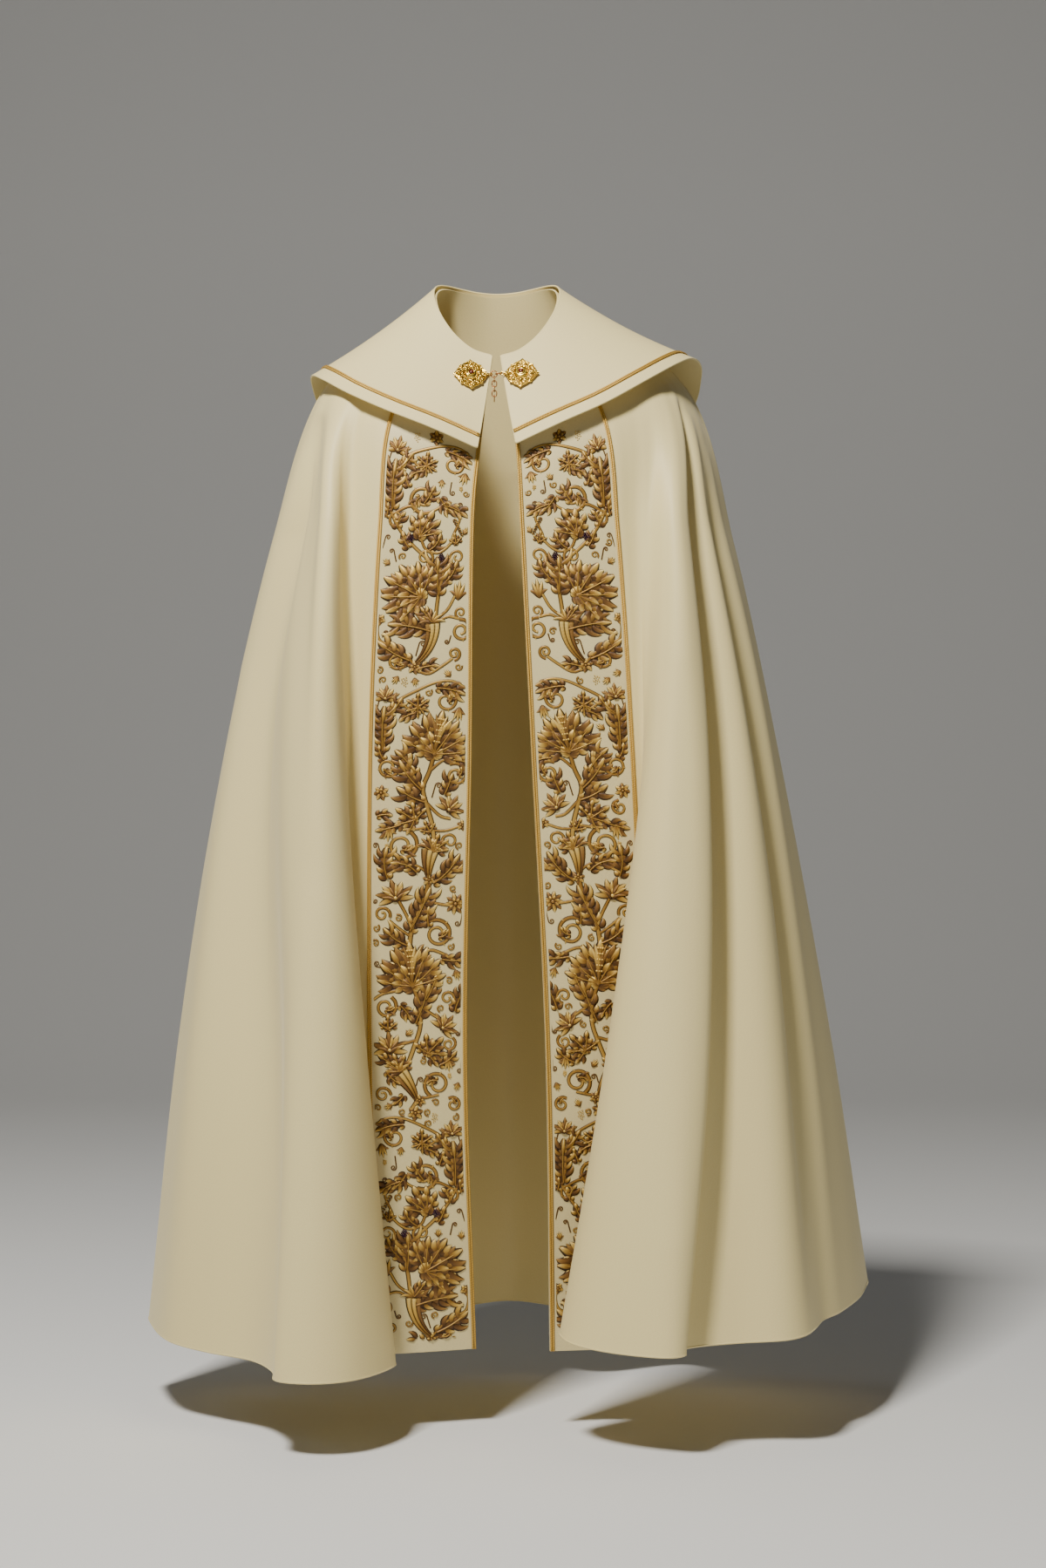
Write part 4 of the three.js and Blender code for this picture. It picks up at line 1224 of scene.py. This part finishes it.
def ogee(angle, radius):
    """The rosette's outline: four pointed lobes with a small cusp between each two."""
    off = np.abs((angle + np.pi / 4) % (np.pi / 2) - np.pi / 4)
    point = 0.19 * np.exp(-off / 0.13)
    cusp = 0.05 * bump(off, np.pi / 4, 0.07)
    waist = 0.03 * bump(off, 0.62, 0.1)
    return radius * (0.81 + point + cusp - waist)


def polar(out, angle):
    return out * math.cos(angle), out * math.sin(angle)


def ring_points(radii, angles, height):
    """Points round a rosette at one height."""
    return stack(radii * np.cos(angles), radii * np.sin(angles), height)


def wire(parts, stand, points, radius, closed=False, sides=7):
    """A wire through points in a stand's own axes."""
    line = stand.place(points)
    tube(parts, line, np.broadcast_to(stand.z, line.shape), radius, sides, closed=closed)


def lathe(parts, stand, profile, count=40):
    """A turned shape: profile is (radius, height) from its outside in."""
    angle = np.linspace(0, 2 * np.pi, count, endpoint=False)
    parts.grid(stand.place([ring_points(r, angle, z) for r, z in profile]), wrap=True)


def bead(parts, stand, place, radius, stretch=1.0, turn=0.0):
    """A small domed grain, longer along its turn when stretched."""
    rings = np.linspace(1, 0, 4)[:, None]
    around = np.linspace(0, 2 * np.pi, 8, endpoint=False)[None]
    along, across = rings * np.cos(around) * radius * stretch, rings * np.sin(around) * radius
    x = place[0] + along * math.cos(turn) - across * math.sin(turn)
    y = place[1] + along * math.sin(turn) + across * math.cos(turn)
    z = place[2] + radius * np.sqrt(1 - rings**2) + 0 * along
    parts.grid(stand.place(stack(x, y, z)), wrap=True)


def add_rim(parts, stand):
    """A roped rim with a fine wire inside it."""
    angle = np.linspace(0, 2 * np.pi, RIM_POINTS, endpoint=False)
    wire(parts, stand, ring_points(ogee(angle, ROSETTE_RADIUS - 0.9), angle, 1.6), 1.15, closed=True)
    wire(parts, stand, ring_points(ogee(angle, ROSETTE_RADIUS - 3.0), angle, 2.3), 0.5, closed=True)
    for k in range(ROPE_GRAINS):
        a = 2 * np.pi * (k + 0.5) / ROPE_GRAINS
        r = float(ogee(a, ROSETTE_RADIUS - 1.0))
        bead(parts, stand, (*polar(r, a), 2.4), 0.75)


def add_lobe(parts, stand, axis):
    """A pair of scrolls, with grains beside them, along the lobe's axis and in the cusp after it."""
    t = np.linspace(0, 1, 26)
    for way in (-1, 1):
        turn = axis + way * (2.6 + 7.2 * t)
        radius = 4.1 * (1 - 0.72 * t)
        curl = np.array(polar(14.2, axis + 0.31 * way)) + radius[:, None] * stack(np.cos(turn), np.sin(turn))
        wire(parts, stand, np.column_stack([curl, 2.4 + 1.3 * t]), 0.72)
        bead(parts, stand, (*curl[-1], 3.6), 1.1)
        for out, off, size in SIDE_GRAINS:
            a = axis + off * way
            bead(parts, stand, (*polar(out, a), 2.0), size, 1.7, a + 0.5 * way)
    for grains, a, stretch in ((AXIS_GRAINS, axis, 1.6), (CUSP_GRAINS, axis + np.pi / 4, 1.5)):
        for out, size in grains:
            bead(parts, stand, (*polar(out, a), 2.1), size, stretch, a)


def add_boss(parts, stand):
    """A ringed boss with grains round its foot."""
    lathe(parts, stand, BOSS_PROFILE)
    for k in range(BOSS_GRAINS):
        bead(parts, stand, (*polar(7.7, 2 * np.pi * k / BOSS_GRAINS), 4.0), 0.8)


def add_eye(parts, stand, upright, inward):
    """A wire eye at the tip that points to the other rosette."""
    loop = np.linspace(0, 2 * np.pi, 28, endpoint=False)
    out = inward * (ROSETTE_RADIUS + EYE_REACH - EYE_RADIUS) + EYE_RADIUS * np.cos(loop)
    across = EYE_HALF_WIDTH * np.sin(loop)
    if upright:
        line, facing = stand.place(stack(out, 0, EYE_HEIGHT + across)), stand.y
    else:
        line, facing = stand.place(stack(out, across, EYE_HEIGHT)), stand.z
    tube(parts, line, np.broadcast_to(facing, line.shape), EYE_WIRE, closed=True)


def make_rosette(stand, side, inward):
    """Cast filigree in front of a dark ground that is painted shade in its hollows, with a stone in its
    boss.
    """
    parts = Parts()
    add_rim(parts, stand)
    for lobe in range(4):
        add_lobe(parts, stand, lobe * np.pi / 2)
    add_boss(parts, stand)
    add_eye(parts, stand, side == "right", inward)
    make_piece(parts, f"filigree_{side}", GILT, f"rosette_{side}")

    # The dark ground is painted shade: the hollows of the filigree seen dark.
    ground = Parts()
    angle = np.linspace(0, 2 * np.pi, RIM_POINTS, endpoint=False)
    rings = [ring_points(ogee(angle, r), angle, z) for r, z in SHADE_GROUND_PROFILE]
    ground.grid(stand.place(rings), wrap=True)
    make_piece(ground, f"filigree_shade_back_{side}", RECESS_SHADE, smooth=False)

    gem = Parts()
    rise = np.linspace(-0.6, np.pi / 2 - 0.01, 10)
    foot = STONE_CENTRE - 0.3
    lathe(gem, stand, [(STONE_RADIUS * math.cos(a), foot + STONE_RISE * math.sin(a)) for a in rise])
    make_piece(gem, f"cabochon_{side}", RED, f"stone_{side}")


def make_link(name, length, width, body="cope"):
    """A link of two twisted strands on its CAD node's own axes."""
    points = world_points(name)
    centre = (points.max(axis=0) + points.min(axis=0)) / 2
    _, _, (long, wide, thin) = np.linalg.svd(points - points.mean(axis=0), full_matrices=False)
    bend = (width - LINK_WIRE) / 2
    straight = (length - width) / 2
    turns = np.linspace(0, 2 * np.pi, 72, endpoint=False)
    reach = bend * np.sin(turns) + straight * np.tanh(LINK_SQUARENESS * np.sin(turns))
    spine = centre + np.outer(reach, long)
    spine += np.outer(bend * np.cos(turns), wide)
    tangent = unit(np.roll(spine, -1, axis=0) - np.roll(spine, 1, axis=0))
    side = unit(np.cross(tangent, thin))
    parts = Parts()
    for phase in (0, np.pi):
        twist = TWISTS * turns + phase
        line = spine + STRAND_OFFSET * (np.cos(twist)[:, None] * side + np.sin(twist)[:, None] * thin)
        tube(parts, line, np.broadcast_to(thin, line.shape), STRAND, 7, closed=True)
    make_piece(parts, f"{name}_wire", ROSE, name, body)


# ---------- building ----------
body = make_body()
for side in ("right", "left"):
    band = Band(side)
    cloth = make_band(band)
    outer = make_band_braid(band, "braid_outer", BRAID_WIDTH / 2)
    edge = make_band_braid(band, "braid_edge", band.width - BRAID_WIDTH / 2)
    threads = embroider(band)
collar, collar_cords, collar_patch = make_collar()
for side, inward in (("right", 1), ("left", -1)):
    make_rosette(Stand(f"stone_{side}", collar_patch), side, inward)
make_link("chain_ring", *RING)
make_link("chain_link", *LINK)
for i in range(1, 6):
    make_link(f"tail_link_{i}", *LINK, f"tail_link_{i}")


# ---------- stage, light and camera ----------
# Metres, as for Blender's own objects.
FLOOR_Z = -1.512
FLOOR_HALF_WIDTH = 14.0
FLOOR_FRONT, FLOOR_BACK = -9, 4
BACKDROP_CURVE = 3  # radius
BACKDROP_HEIGHT = 9
CAMERA = (0.036, -4.0, -0.642)
LENS = 66.7


def make_stage():
    """A pale floor that curves up into a backdrop."""
    rise = np.linspace(0, math.pi / 2, 16)[1:]
    profile = [(y, FLOOR_Z) for y in np.linspace(FLOOR_FRONT, FLOOR_BACK, 14)]
    for a in rise:
        up = BACKDROP_CURVE * (1 - math.cos(a))
        profile.append((FLOOR_BACK + BACKDROP_CURVE * math.sin(a), FLOOR_Z + up))
    profile.append((FLOOR_BACK + BACKDROP_CURVE, FLOOR_Z + BACKDROP_HEIGHT))
    sides = (-FLOOR_HALF_WIDTH, FLOOR_HALF_WIDTH)
    parts = Parts()
    parts.grid(np.array([[(x, y, z) for y, z in profile] for x in sides]) / MM)
    parts.mesh("floor", material("floor", (0.80, 0.80, 0.79), 0.8))


def area_light(name, place, target, size, watts, colour=(1, 1, 1)):
    lamp = bpy.data.lights.new(name, "AREA")
    lamp.shape = "RECTANGLE"
    lamp.size, lamp.size_y = size
    lamp.energy = watts
    lamp.color = colour
    obj = bpy.data.objects.new(name, lamp)
    obj.location = place
    obj.rotation_euler = (Vector(target) - Vector(place)).to_track_quat("-Z", "Y").to_euler()
    bpy.context.collection.objects.link(obj)


def make_lights():
    area_light("key", (-0.95, -2.3, 2.7), (0, 0, -0.4), (0.6, 0.6), 270, (1, 0.97, 0.91))
    area_light("rim left", (-3.0, 0.9, 0.2), (-0.2, 0, -0.8), (0.8, 2.2), 7, (0.90, 0.95, 1))
    area_light("rim right", (3.0, 1.2, 0.2), (0.2, 0, -0.8), (0.8, 2.2), 4, (0.95, 0.96, 1))
    world = bpy.data.worlds.new("studio")
    world.use_nodes = True
    background = world.node_tree.nodes["Background"]
    background.inputs["Color"].default_value = (1, 1, 1, 1)
    background.inputs["Strength"].default_value = 0.03
    bpy.context.scene.world = world


def make_camera():
    cam = bpy.data.cameras.new("camera")
    cam.lens = LENS
    obj = bpy.data.objects.new("camera", cam)
    obj.location = CAMERA
    obj.rotation_euler = (math.pi / 2, 0, 0)
    bpy.context.collection.objects.link(obj)
    bpy.context.scene.camera = obj


make_stage()
make_lights()
make_camera()
